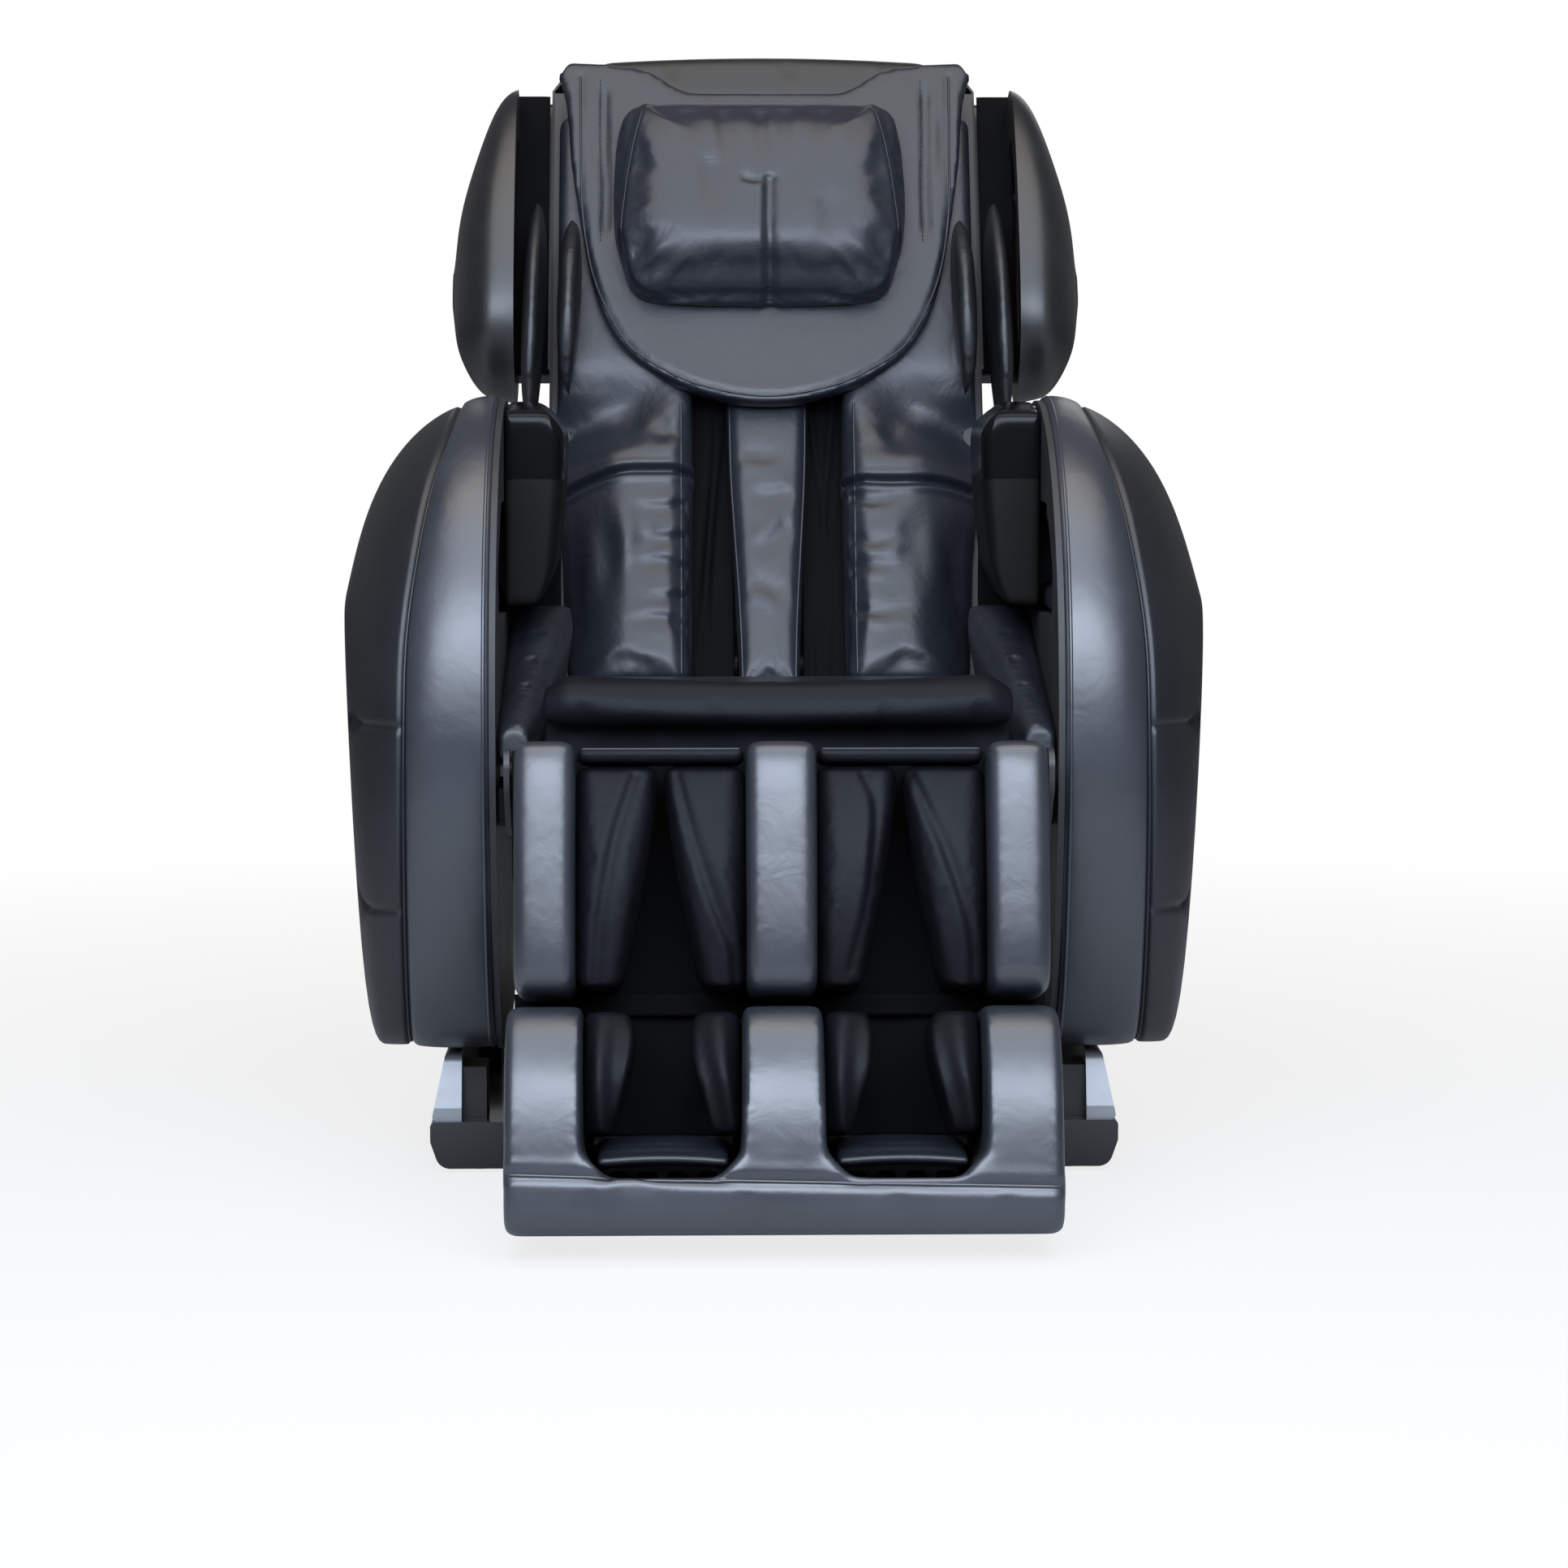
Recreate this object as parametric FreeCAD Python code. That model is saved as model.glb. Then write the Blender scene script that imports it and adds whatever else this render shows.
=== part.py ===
import FreeCAD, Part
import math
import os
from FreeCAD import Vector as V

# Zero-gravity massage chair, in millimetres.
# +Z is up, the sitter faces -Y, and the sitter's left hand is on +X.
# The base stands on the floor. The carriage glides on the base, the seat frame tilts on the carriage, and the
# backrest and the leg rest turn on the seat frame. The chair is modelled upright, with the leg rest down.

# Overall width over the arm shells, and the angles at rest
OVERALL_WIDTH = 914.4
BACK_LEAN = 25.0
LEG_LEAN = 12.0

# Main axes: the backrest hinge, the leg-rest hinge and the tilt pivot
HINGE_Y = 150.0
HINGE_Z = 430.0
KNEE_Y = -375.0
KNEE_Z = 460.0
TILT_Y = 260.0
TILT_Z = 230.0

# Travel of the joints that have to miss something
LEG_LIFT = 78.0
RECLINE = 50.0
TILT = 15.0

# Clearances
RUNNING = 0.05
SLIDING = 0.3
SEATED = 0.3
JOINT_GAP = 1.0

# Arms
ARM_HALF = OVERALL_WIDTH / 2
ARM_INNER_X = 299.0
ARM_PANEL = 7.0
ARM_WALL = 12.0
ARM_FRONT = -296.0
ARM_REAR = 336.0
ARM_BOTTOM = 134.0
ARM_TOP = 833.0
ARM_OUTLINE = [
    (-60, 134), (-180, 152), (-264, 280), (-296, 480), (-256, 660), (-140, 786), (10, 833), (170, 796),
    (288, 676), (336, 520), (290, 320), (185, 175), (70, 135),
]
ARM_SEAM = [(64, -0.05), (67, 0.61), (74, 0.724), (83, 0.81), (93, 0.884), (108, 0.947), (126, 1.024)]
ARM_STATIONS = (0, 0.3, 0.5, 0.65, 0.77, 0.86, 0.92, 0.96, 0.985, 1)
ARM_SHOULDER = 192.0
ARM_TUCK = 430.0
ARM_TUCK_START = 0.76
ARM_ROUNDING = 150.0
FOREARM_WINDOW = [(-205, 600, 25), (-205, 655, 25), (-125, 722, 30), (105, 722, 25), (105, 600, 25)]
FOREARM_DEPTH = 86.0
RECESS_WALL = 4.0
GUARD_INNER_X = 226.0
GUARD_FRONT = -60.0
GUARD_REAR = 140.0
GUARD_BOTTOM = 608.0
GUARD_TOP = 832.0

# Seat frame and seat
RAIL_X = 258.0
RAIL_WIDTH = 20.0
RAIL_Z = 385.0
RAIL_HEIGHT = 40.0
SEAT_FRONT = -320.0
SEAT_REAR = 90.0
SEAT_TONGUE = 20.0
CROSS_DEPTH = 30.0
CROSS_HEIGHT = 22.0
PLATE = 8.0
PAN_THICKNESS = 8.0
CUSHION_HALF = 230.0
CUSHION_HEIGHT = 66.0
ROLL_FRONT = -354.0
ROLL_REAR = -292.0
ROLL_HALF = 241.0
ROLL_TOP = 555.0
ROLL_BOTTOM = 502.0
HINGE_PIN_R = 10.0
TILT_PIN_R = 12.0
KNEE_PIN_R = 8.0
KNEE_PLATE = 5.0
KNEE_GAP = 2.0
KNEE_BRACKET = 6.0
LINK_LENGTH = 60.0
HIP_GAP = 14.0
HIP_SECTIONS = ((-280, 20, 500, 488), (-90, -4, 564, 550), (90, -28, 606, 603))
TAIL_PLATE = 8.0
TAIL_HALF = 22.0

# Backrest, in its own upright frame: z runs up the back from the hinge, and the front is -y
BACK_TOP = 880.0
MEMBER_X = 232.0
MEMBER_WIDTH = 20.0
MEMBER_FRONT = 44.0
MEMBER_DEPTH = 40.0
FRAME_LOW = 30.0
FRAME_HIGH = 775.0
FRAME_BAR = 25.0
PAD_BACK = 15.0
BOARD = 10.0
SHELL_WALL = 3.0
SHELL_BOTTOM = 34.0
SHELL_SHOULDER = 850.0
CENTRE_PAD_HALF = 44.0
CENTRE_PAD_FACE = 50.0
GROOVE_EDGE = 87.0
SIDE_PAD_FACE = 60.0
SIDE_PAD_HALF = 245.0
PAD_LOW = 62.0
PAD_HIGH = 840.0
CENTRE_PAD_HIGH = 640.0
BOARD_IN = 200.0
HEAD_BAR = 40.0
GROOVE_SKIN = 5.0
HEAD_PAD_TOP = 850.0
HEAD_PAD_DIP = 44.0
HEAD_PAD_BOTTOM = 400.0
HEAD_PAD_HALF = 260.0
HEAD_PAD_THICK = 22.0
HEAD_PAD_EDGE = [
    (1, 1), (0.935, 0.933), (0.892, 0.751), (0.831, 0.496), (0.769, 0.318), (0.658, 0.176), (0.531, 0.104),
    (0.3, 0.033), (0, 0),
]
PILLOW_TOP = 765.0
PILLOW_BOTTOM = 524.0
PILLOW_HALF = 172.0
PILLOW_THICK = 68.0
PILLOW_ROUND = 26.0
WING_INNER_X = 294.0
WING_BRACKET_FRONT = 8.0
WING_BRACKET_DEPTH = 38.0
WING_BRACKET_LOW = 480.0
WING_BRACKET_HIGH = 842.0
LOBE_X = 230.0
OUTER_LOBE_X = 272.0

# Massage unit
GUIDE_X = 150.0
GUIDE_WIDTH = 12.0
GUIDE_DEPTH = 24.0
GUIDE_FRONT = 60.0
SHOE_HALF = 14.0
SCREW_R = 7.0
SCREW_BACK = 105.0
MOTOR_BACK = 108.0
UNIT_Z = 172.0
SHAFT_R = 6.0
SHAFT_BACK = 70.0
ARM_PLATE_X = 36.0
ARM_PLATE_WIDTH = 14.0
ROLLER_R = 28.0
ROLLER_WIDTH = 30.0
ROLLER_REACH = 62.0
ROLLER_BACK = 22.0
ROLLER_AXLE_R = 5.0

# Leg rest, in its own hanging frame: z runs down from the knee hinge as negative, and the front is -y
CALF_HALF = 266.0
CALF_TOP = 18.0
CALF_BOARD_TOP = 10.0
CALF_BOTTOM = 236.0
CALF_FRONT = 112.0
CALF_BOARD_BACK = 45.0
CALF_BOARD = 15.0
CENTRE_WALL_HALF = 35.0
WALL_ROUNDING = 9.0
CALF_CHANNEL_OUT = 205.0
FOOT_HALF = CALF_HALF + 6
FOOT_TOP = 246.0
FOOT_FRONT = 164.8
FOOT_BOARD_BACK = 48.0
FOOT_CENTRE_HALF = 39.0
FOOT_CHANNEL_OUT = 198.0
TOE_BAR_TOP = 417.0
CHANNEL_OPEN = 46 - FOOT_TOP
SOLE_TOP = 372.0
FOOT_CLEARANCE = 25.0
GUIDE_TUBE_X = 180.0
GUIDE_TUBE_BACK = 58.0
GUIDE_ROD_R = 8.0
FOOT_ROLLER_R = 16.0

# Base
BASE_FRONT = -150.0
BASE_REAR = 480.0
SKID_OUT = 372.0
SKID_IN = 292.0
SKID_TOP = 56.0
TRIM_TOP = 128.0
TRIM_REAR = 330.0
RAIL_CENTRE = 276.0
RAIL_HEAD_TOP = 76.0
GLIDE_FRONT = 30.0
GLIDE_REAR = 350.0
GLIDE_TOP = 92.0
RISER_X = RAIL_X + 12
TRAY_HALF = 250.0
TRAY_TOP = 93.0
BEAM_X = 320.0
BEAM_HALF = 20.0
POST_X = 325.0
POST_HALF = 13.0
POST_LENGTH = 60.0
POST_PLACES = (BASE_FRONT + 26, 240)
FOOT_PAD_R = 25.0
WHEEL_R = 26.0
WHEEL_WIDTH = 24.0
WHEEL_Y = 482.0
WHEEL_Z = 36.0
COVER_REAR = WHEEL_Y - WHEEL_R - 4
WHEEL_AXLE_R = 4.0
ROCKER_Y = 474.0
ROCKER_Z = 47.0
SWITCH_IN = 20.0
SWITCH_OUT = 48.0
BOX_FRONT = 430.0
BOX_REAR = 486.0

parts = {}


def on_yz(x):
    return lambda a, b: V(x, a, b)


def on_xz(y):
    return lambda a, b: V(a, y, b)


def on_xy(z):
    return lambda a, b: V(a, b, z)


def rounded_loop(corners, place):
    """A closed wire through (a, b, radius) corners, each one rounded by a tangent arc."""
    turns = []
    for i, (a, b, radius) in enumerate(corners):
        corner = V(a, b, 0)
        to_last = (V(*corners[i - 1][:2], 0) - corner).normalize()
        to_next = (V(*corners[(i + 1) % len(corners)][:2], 0) - corner).normalize()
        half = to_last.getAngle(to_next) / 2
        back = radius / math.tan(half)
        middle = corner + (to_last + to_next).normalize() * (radius / math.sin(half) - radius)
        turns.append((corner + to_last * back, middle, corner + to_next * back, radius))
    edges = []
    for i, (start, middle, end, radius) in enumerate(turns):
        if radius > 0:
            arc = Part.Arc(place(start.x, start.y), place(middle.x, middle.y), place(end.x, end.y))
            edges.append(arc.toShape())
        following = turns[(i + 1) % len(turns)][0]
        if (following - end).Length > 1e-6:
            edges.append(Part.LineSegment(place(end.x, end.y), place(following.x, following.y)).toShape())
    return Part.Wire(edges)


def smooth_loop(points, place):
    """A closed wire of one smooth curve through (a, b) points."""
    curve = Part.BSplineCurve()
    curve.interpolate([place(a, b) for a, b in points], PeriodicFlag=True)
    return Part.Wire([curve.toShape()])


def curve_through(points, place):
    """One smooth open curve through (a, b) points."""
    curve = Part.BSplineCurve()
    curve.interpolate([place(a, b) for a, b in points])
    return curve.toShape()


def curve_near(poles, place):
    """One smooth open curve from the first (a, b) pole to the last, drawn towards the poles between."""
    curve = Part.BSplineCurve()
    curve.buildFromPoles([place(a, b) for a, b in poles], False, 3)
    return curve.toShape()


def closed_wire(curve, corners, place):
    """A closed wire of a curve and straight lines from its end through the corners back to its start."""
    stops = [curve.valueAt(curve.LastParameter)]
    stops += [place(a, b) for a, b in corners]
    stops.append(curve.valueAt(curve.FirstParameter))
    lines = [Part.LineSegment(a, b).toShape() for a, b in zip(stops, stops[1:])]
    return Part.Wire([curve] + lines)


def prism_x(corners, x0, x1):
    return Part.Face(rounded_loop(corners, on_yz(x0))).extrude(V(x1 - x0, 0, 0))


def prism_y(corners, y0, y1):
    return Part.Face(rounded_loop(corners, on_xz(y0))).extrude(V(0, y1 - y0, 0))


def prism_z(corners, z0, z1):
    return Part.Face(rounded_loop(corners, on_xy(z0))).extrude(V(0, 0, z1 - z0))


def box(x0, x1, y0, y1, z0, z1):
    return Part.makeBox(x1 - x0, y1 - y0, z1 - z0, V(x0, y0, z0))


def rod_x(x0, x1, y, z, radius):
    return Part.makeCylinder(radius, x1 - x0, V(x0, y, z), V(1, 0, 0))


def rod_y(y0, y1, x, z, radius):
    return Part.makeCylinder(radius, y1 - y0, V(x, y0, z), V(0, 1, 0))


def rod_z(z0, z1, x, y, radius):
    return Part.makeCylinder(radius, z1 - z0, V(x, y, z0), V(0, 0, 1))


def fused(shapes):
    return shapes[0].multiFuse(shapes[1:]).removeSplitter()


def mirrored(shape):
    return shape.mirror(V(0, 0, 0), V(1, 0, 0))


def both_sides(shape):
    """The shape and its mirror image across the middle plane, as one group."""
    return Part.makeCompound([shape, mirrored(shape)])


def softened(shape, radius):
    """The shape with every edge rounded."""
    return shape.makeFillet(radius, shape.Edges)


def on_back(shape):
    """Moves a piece from the backrest's own frame to its place on the chair."""
    placed = shape.copy()
    placed.rotate(V(0, 0, 0), V(1, 0, 0), -BACK_LEAN)
    placed.translate(V(0, HINGE_Y, HINGE_Z))
    return placed


def on_leg(shape):
    """Moves a piece from the leg rest's own frame to its place on the chair."""
    placed = shape.copy()
    placed.rotate(V(0, 0, 0), V(1, 0, 0), -LEG_LEAN)
    placed.translate(V(0, KNEE_Y, KNEE_Z))
    return placed


# Arms: a domed shell outside, a padded band round the front and top, and a panel with a forearm recess inside

def arm_section(x, top, bottom, front_in, rear_in, inset):
    """The arm's side outline at one distance from the middle, drawn in by an inset all round."""
    low, high = bottom + inset, top - inset
    front, rear = ARM_FRONT + front_in + inset, ARM_REAR - rear_in - inset
    points = [
        (
            front + (y - ARM_FRONT) / (ARM_REAR - ARM_FRONT) * (rear - front),
            low + (z - ARM_BOTTOM) / (ARM_TOP - ARM_BOTTOM) * (high - low),
        )
        for y, z in ARM_OUTLINE
    ]
    return smooth_loop(points, on_yz(x))


def arm_loft(inset, inner_x, outer_shift):
    """The whole arm as one domed body, whose outline shrinks outwards: over the top first, below last."""
    wires = []
    for share in ARM_STATIONS:
        x = inner_x + share * (ARM_HALF - outer_shift - inner_x)
        drop = ARM_SHOULDER * (1 - math.sqrt(1 - (0.99 * share) ** 2)) / 0.859
        tuck = ARM_TUCK * (max(0.0, share - ARM_TUCK_START) / (1 - ARM_TUCK_START)) ** 3
        ends = ARM_ROUNDING * (1 - (1 - (0.99 * share) ** 3) ** (1 / 3)) / 0.69
        wires.append(arm_section(x, ARM_TOP - drop, ARM_BOTTOM + tuck, ends, ends, inset))
    return Part.makeLoft(wires, True, True)


def arm_region(shift, side_x):
    """The space between the seam of shell and band and a plane at side_x, right through the arm."""
    place = on_xz(ARM_FRONT - 1)
    height = ARM_TOP - ARM_BOTTOM
    seam = [(ARM_HALF - inward - shift, ARM_BOTTOM + up * height) for inward, up in ARM_SEAM]
    outline = closed_wire(curve_through(seam, place), [(side_x, seam[-1][1]), (side_x, seam[0][1])], place)
    return Part.Face(outline).extrude(V(0, ARM_REAR - ARM_FRONT + 2, 0))


def make_arm():
    body = arm_loft(0, ARM_INNER_X, 0)
    hollow = arm_loft(ARM_WALL, ARM_INNER_X - 1, ARM_WALL)
    wall = body.cut(hollow)
    shell = wall.common(arm_region(0, ARM_HALF + 1))
    band = wall.common(arm_region(SEATED, ARM_INNER_X - 1))
    plate_x = ARM_INNER_X - ARM_PANEL
    plate = Part.Face(arm_section(plate_x, ARM_TOP, ARM_BOTTOM, 0, 0, 3)).extrude(V(ARM_PANEL - SEATED, 0, 0))
    grown = [
        (y + RECESS_WALL * (1 if y > 0 else -1), z + RECESS_WALL * (-1 if z < 610 else 1), r + RECESS_WALL)
        for y, z, r in FOREARM_WINDOW
    ]
    recess = prism_x(grown, plate_x, plate_x + FOREARM_DEPTH + RECESS_WALL)
    opening = prism_x(FOREARM_WINDOW, plate_x - 1, plate_x + FOREARM_DEPTH)
    panel = plate.fuse(recess).cut(opening)
    return shell, band, panel


def make_guard():
    """The gloss guard that leans in over the sitter's elbow, at the top rear of the arm."""
    face_x = ARM_INNER_X - ARM_PANEL
    inner_x = GUARD_INNER_X
    front_view = [
        (face_x, GUARD_BOTTOM - 2, 0), (face_x, GUARD_TOP, 0), (inner_x + 32, GUARD_TOP + 2, 26),
        (inner_x, GUARD_TOP - 32, 26), (inner_x, GUARD_BOTTOM + 42, 30), (inner_x + 20, GUARD_BOTTOM, 16),
    ]
    slab = prism_y(front_view, GUARD_FRONT, GUARD_REAR)
    outline = arm_section(inner_x - 1, ARM_TOP, ARM_BOTTOM, 0, 0, 4)
    side_view = Part.Face(outline).extrude(V(face_x - inner_x + 2, 0, 0))
    plan_view = prism_z(
        [(face_x, GUARD_FRONT - 10, 0), (face_x, GUARD_REAR + 10, 0), (inner_x, GUARD_REAR, 30),
         (inner_x, GUARD_FRONT, 24)],
        GUARD_BOTTOM - 3, GUARD_TOP + 3,
    )
    return slab.common(side_view).common(plan_view)


def make_arm_airbags():
    """The two pads that squeeze the forearm: one on the recess floor, one under its roof."""
    inner = ARM_INNER_X - ARM_PANEL + 6
    outer = ARM_INNER_X - ARM_PANEL + FOREARM_DEPTH - 2
    floor, roof = FOREARM_WINDOW[0][1] + SEATED, FOREARM_WINDOW[2][1] - SEATED
    low = softened(box(inner, outer, -180, 80, floor, floor + 30), 12)
    high = softened(box(inner, outer, -100, 80, roof - 28, roof), 12)
    return [low, high]


# Seat frame: two rails, cross tubes, hinge plates, knee brackets and the lugs for the actuators

RAIL_TOP = RAIL_Z + RAIL_HEIGHT
PAN_Z = RAIL_TOP + CROSS_HEIGHT
CUSHION_Z = PAN_Z + PAN_THICKNESS

# Back actuator: its rod pushes a lever under the back frame, which swings evenly either side of vertical
BACK_CRANK = 90.0
BACK_CRANK_X = -60.0
BACK_PIN_Y = HINGE_Y + BACK_CRANK * math.sin(math.radians(RECLINE / 2))
BACK_PIN_Z = HINGE_Z - BACK_CRANK * math.cos(math.radians(RECLINE / 2))
BACK_SAG = BACK_CRANK * (1 - math.cos(math.radians(RECLINE / 2)))
BACK_ROD_Z = BACK_PIN_Z - BACK_SAG / 2
BACK_TAIL = SEAT_FRONT + 13
BACK_NOSE = -90.0

# Leg actuator: the same, on a crank behind the calf board
LEG_CRANK = 80.0
LEG_CRANK_X = 60.0
LEG_PIN_Y = KNEE_Y + LEG_CRANK * math.sin(math.radians(LEG_LIFT / 2))
LEG_PIN_Z = KNEE_Z - LEG_CRANK * math.cos(math.radians(LEG_LIFT / 2))
LEG_SAG = LEG_CRANK * (1 - math.cos(math.radians(LEG_LIFT / 2)))
LEG_ROD_Z = LEG_PIN_Z - LEG_SAG / 2
LEG_TAIL = SEAT_REAR - 50
LEG_NOSE = -215.0

# Tilt actuator: it stands on the carriage and pushes the seat frame's middle cross tube up
TILT_ARM_Y = -40.0
TILT_ARM_Z = RAIL_Z
TILT_R = math.hypot(TILT_ARM_Y - TILT_Y, TILT_ARM_Z - TILT_Z)
TILT_MID = math.atan2(TILT_ARM_Z - TILT_Z, TILT_Y - TILT_ARM_Y) + math.radians(TILT / 2)
TILT_UP = V(0, math.sin(TILT_MID), math.cos(TILT_MID))
TILT_SAG = TILT_R * (1 - math.cos(math.radians(TILT / 2)))
TILT_FOOT_Z = 100.0
TILT_LENGTH = (TILT_ARM_Z - TILT_FOOT_Z) / TILT_UP.z
ACTUATOR_PIN_R = 5.0
ACTUATOR_R = 20.0
ROD_R = 9.0
EYE_WIDTH = 16.0
EAR = 6.0


def lug_pair(x, corners, pin_y, pin_z):
    """Two ears with a pin across them, which a rod's eye runs on."""
    gap = EYE_WIDTH / 2 + JOINT_GAP
    ears = [prism_x(corners, x + gap, x + gap + EAR), prism_x(corners, x - gap - EAR, x - gap)]
    pin = rod_x(x - gap - EAR, x + gap + EAR, pin_y, pin_z, ACTUATOR_PIN_R)
    return ears + [pin]


def make_seat_frame():
    plate_x = RAIL_X
    solids = []
    side_plate = prism_x(
        [(90, RAIL_Z, 4), (90, RAIL_TOP, 4), (126, HINGE_Z + 24, 10), (HINGE_Y + 24, HINGE_Z + 24, 22),
         (HINGE_Y + 50, 380, 30), (TILT_Y + 26, TILT_Z + 40, 24), (TILT_Y + 26, TILT_Z - 26, 22),
         (TILT_Y - 26, TILT_Z - 26, 22), (150, RAIL_Z - 20, 30), (130, RAIL_Z, 4)],
        plate_x, plate_x + PLATE,
    )
    rail = box(plate_x, plate_x + RAIL_WIDTH, SEAT_FRONT, 130, RAIL_Z, RAIL_TOP)
    knee_x = CALF_HALF + KNEE_PLATE + KNEE_GAP
    bracket = prism_x(
        [(SEAT_FRONT + LINK_LENGTH, RAIL_Z, 6), (SEAT_FRONT + LINK_LENGTH, RAIL_TOP, 0),
         (SEAT_FRONT + 16, RAIL_TOP, 4),
         (KNEE_Y + 14, KNEE_Z + 20, 12),
         (KNEE_Y - 20, KNEE_Z + 20, 18), (KNEE_Y - 20, KNEE_Z - 20, 18), (SEAT_FRONT - 20, RAIL_Z, 16)],
        knee_x, knee_x + KNEE_BRACKET,
    )
    link_x = sorted((plate_x + RAIL_WIDTH - 1, plate_x + 1, knee_x, knee_x + KNEE_BRACKET))
    link = box(link_x[0], link_x[-1], SEAT_FRONT, SEAT_FRONT + LINK_LENGTH, RAIL_Z, RAIL_TOP)
    knee_pin = rod_x(CALF_HALF + 0.5, knee_x + KNEE_BRACKET, KNEE_Y, KNEE_Z, KNEE_PIN_R)
    hinge_pin = rod_x(MEMBER_X + 4, plate_x + PLATE, HINGE_Y, HINGE_Z, HINGE_PIN_R)
    arm_face = ARM_INNER_X - ARM_PANEL
    spacers = [box(plate_x + RAIL_WIDTH, arm_face, y, y + 50, RAIL_Z, RAIL_TOP) for y in (-220, 30)]
    side = fused([side_plate, rail, bracket, link, knee_pin, hinge_pin] + spacers)
    side = side.cut(rod_x(plate_x - 1, plate_x + PLATE + 1, TILT_Y, TILT_Z, TILT_PIN_R + RUNNING))
    solids += [side, mirrored(side)]
    for y in (SEAT_FRONT, TILT_ARM_Y - CROSS_DEPTH / 2, LEG_TAIL):
        solids.append(box(-plate_x - RAIL_WIDTH, plate_x + RAIL_WIDTH, y, y + CROSS_DEPTH, RAIL_TOP, PAN_Z))
    for x, y, z in ((BACK_CRANK_X, BACK_TAIL - TAIL_PLATE, BACK_ROD_Z), (LEG_CRANK_X, LEG_TAIL, LEG_ROD_Z)):
        solids.append(box(x - TAIL_HALF, x + TAIL_HALF, y, y + TAIL_PLATE, z - TAIL_HALF, RAIL_TOP + 1))
    solids += lug_pair(
        0,
        [(TILT_ARM_Y - 12, TILT_ARM_Z - 12, 10), (TILT_ARM_Y - 12, RAIL_TOP + 1, 0),
         (TILT_ARM_Y + 12, RAIL_TOP + 1, 0), (TILT_ARM_Y + 12, TILT_ARM_Z - 12, 10)],
        TILT_ARM_Y, TILT_ARM_Z,
    )
    return fused(solids)


def slotted_eye(x, y, z, half_height):
    """A rod's eye, slotted upwards so that the pin may rise and fall as the crank swings."""
    slot_width = ACTUATOR_PIN_R + 2.5
    slot_high = half_height + ACTUATOR_PIN_R + 1.5
    half = EYE_WIDTH / 2
    outer = prism_x(
        [(y - slot_width - 6, z - slot_high - 6, 8), (y + slot_width + 6, z - slot_high - 6, 8),
         (y + slot_width + 6, z + slot_high + 6, 8), (y - slot_width - 6, z + slot_high + 6, 8)],
        x - half, x + half,
    )
    slot = prism_x(
        [(y - slot_width, z - slot_high, 5), (y + slot_width, z - slot_high, 5),
         (y + slot_width, z + slot_high, 5), (y - slot_width, z + slot_high, 5)],
        x - half - 1, x + half + 1,
    )
    return outer.cut(slot)


def actuator_tube_y(x, z, tail, nose, motor_side):
    """A linear actuator's body along Y, with its motor beside it. It is bored for the rod from the nose."""
    step = 1 if nose > tail else -1
    low, high = min(tail, nose), max(tail, nose)
    tube = rod_y(low, high, x, z, ACTUATOR_R)
    gearbox = softened(
        box(x - 26, x + 26, min(tail, tail + step * 60), max(tail, tail + step * 60), z - 30, z + 22), 5
    )
    motor_end = tail + step * 120
    motor_start = tail + step * 20
    motor = rod_y(min(motor_start, motor_end), max(motor_start, motor_end), x + motor_side * 30, z - 34, 18)
    bore_from = tail + step * 70
    bore = rod_y(min(bore_from, nose + step), max(bore_from, nose + step), x, z, ROD_R + SLIDING)
    return fused([tube, gearbox, motor]).cut(bore)


def make_back_actuator():
    tail = BACK_TAIL
    nose = BACK_NOSE
    tube = actuator_tube_y(BACK_CRANK_X, BACK_ROD_Z, tail, nose, -1)
    rod_start = tail + 160
    eye = slotted_eye(BACK_CRANK_X, BACK_PIN_Y, BACK_ROD_Z, BACK_SAG / 2)
    eye_face = BACK_PIN_Y - ACTUATOR_PIN_R - 2.5 - 5
    rod = rod_y(rod_start, eye_face, BACK_CRANK_X, BACK_ROD_Z, ROD_R)
    return tube, rod.fuse(eye)


def make_leg_actuator():
    tail = LEG_TAIL
    nose = LEG_NOSE
    tube = actuator_tube_y(LEG_CRANK_X, LEG_ROD_Z, tail, nose, 1)
    eye = slotted_eye(LEG_CRANK_X, LEG_PIN_Y, LEG_ROD_Z, LEG_SAG / 2)
    eye_face = LEG_PIN_Y + ACTUATOR_PIN_R + 2.5 + 5
    rod = rod_y(eye_face, nose + 130, LEG_CRANK_X, LEG_ROD_Z, ROD_R)
    return tube, rod.fuse(eye)


def along_tilt(shape):
    """Leans an upright piece to the tilt actuator's direction, with its foot on the carriage."""
    placed = shape.copy()
    placed.rotate(V(0, 0, 0), V(1, 0, 0), -math.degrees(TILT_MID))
    placed.translate(V(0, TILT_ARM_Y, TILT_ARM_Z) - TILT_UP * TILT_LENGTH)
    return placed


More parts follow.
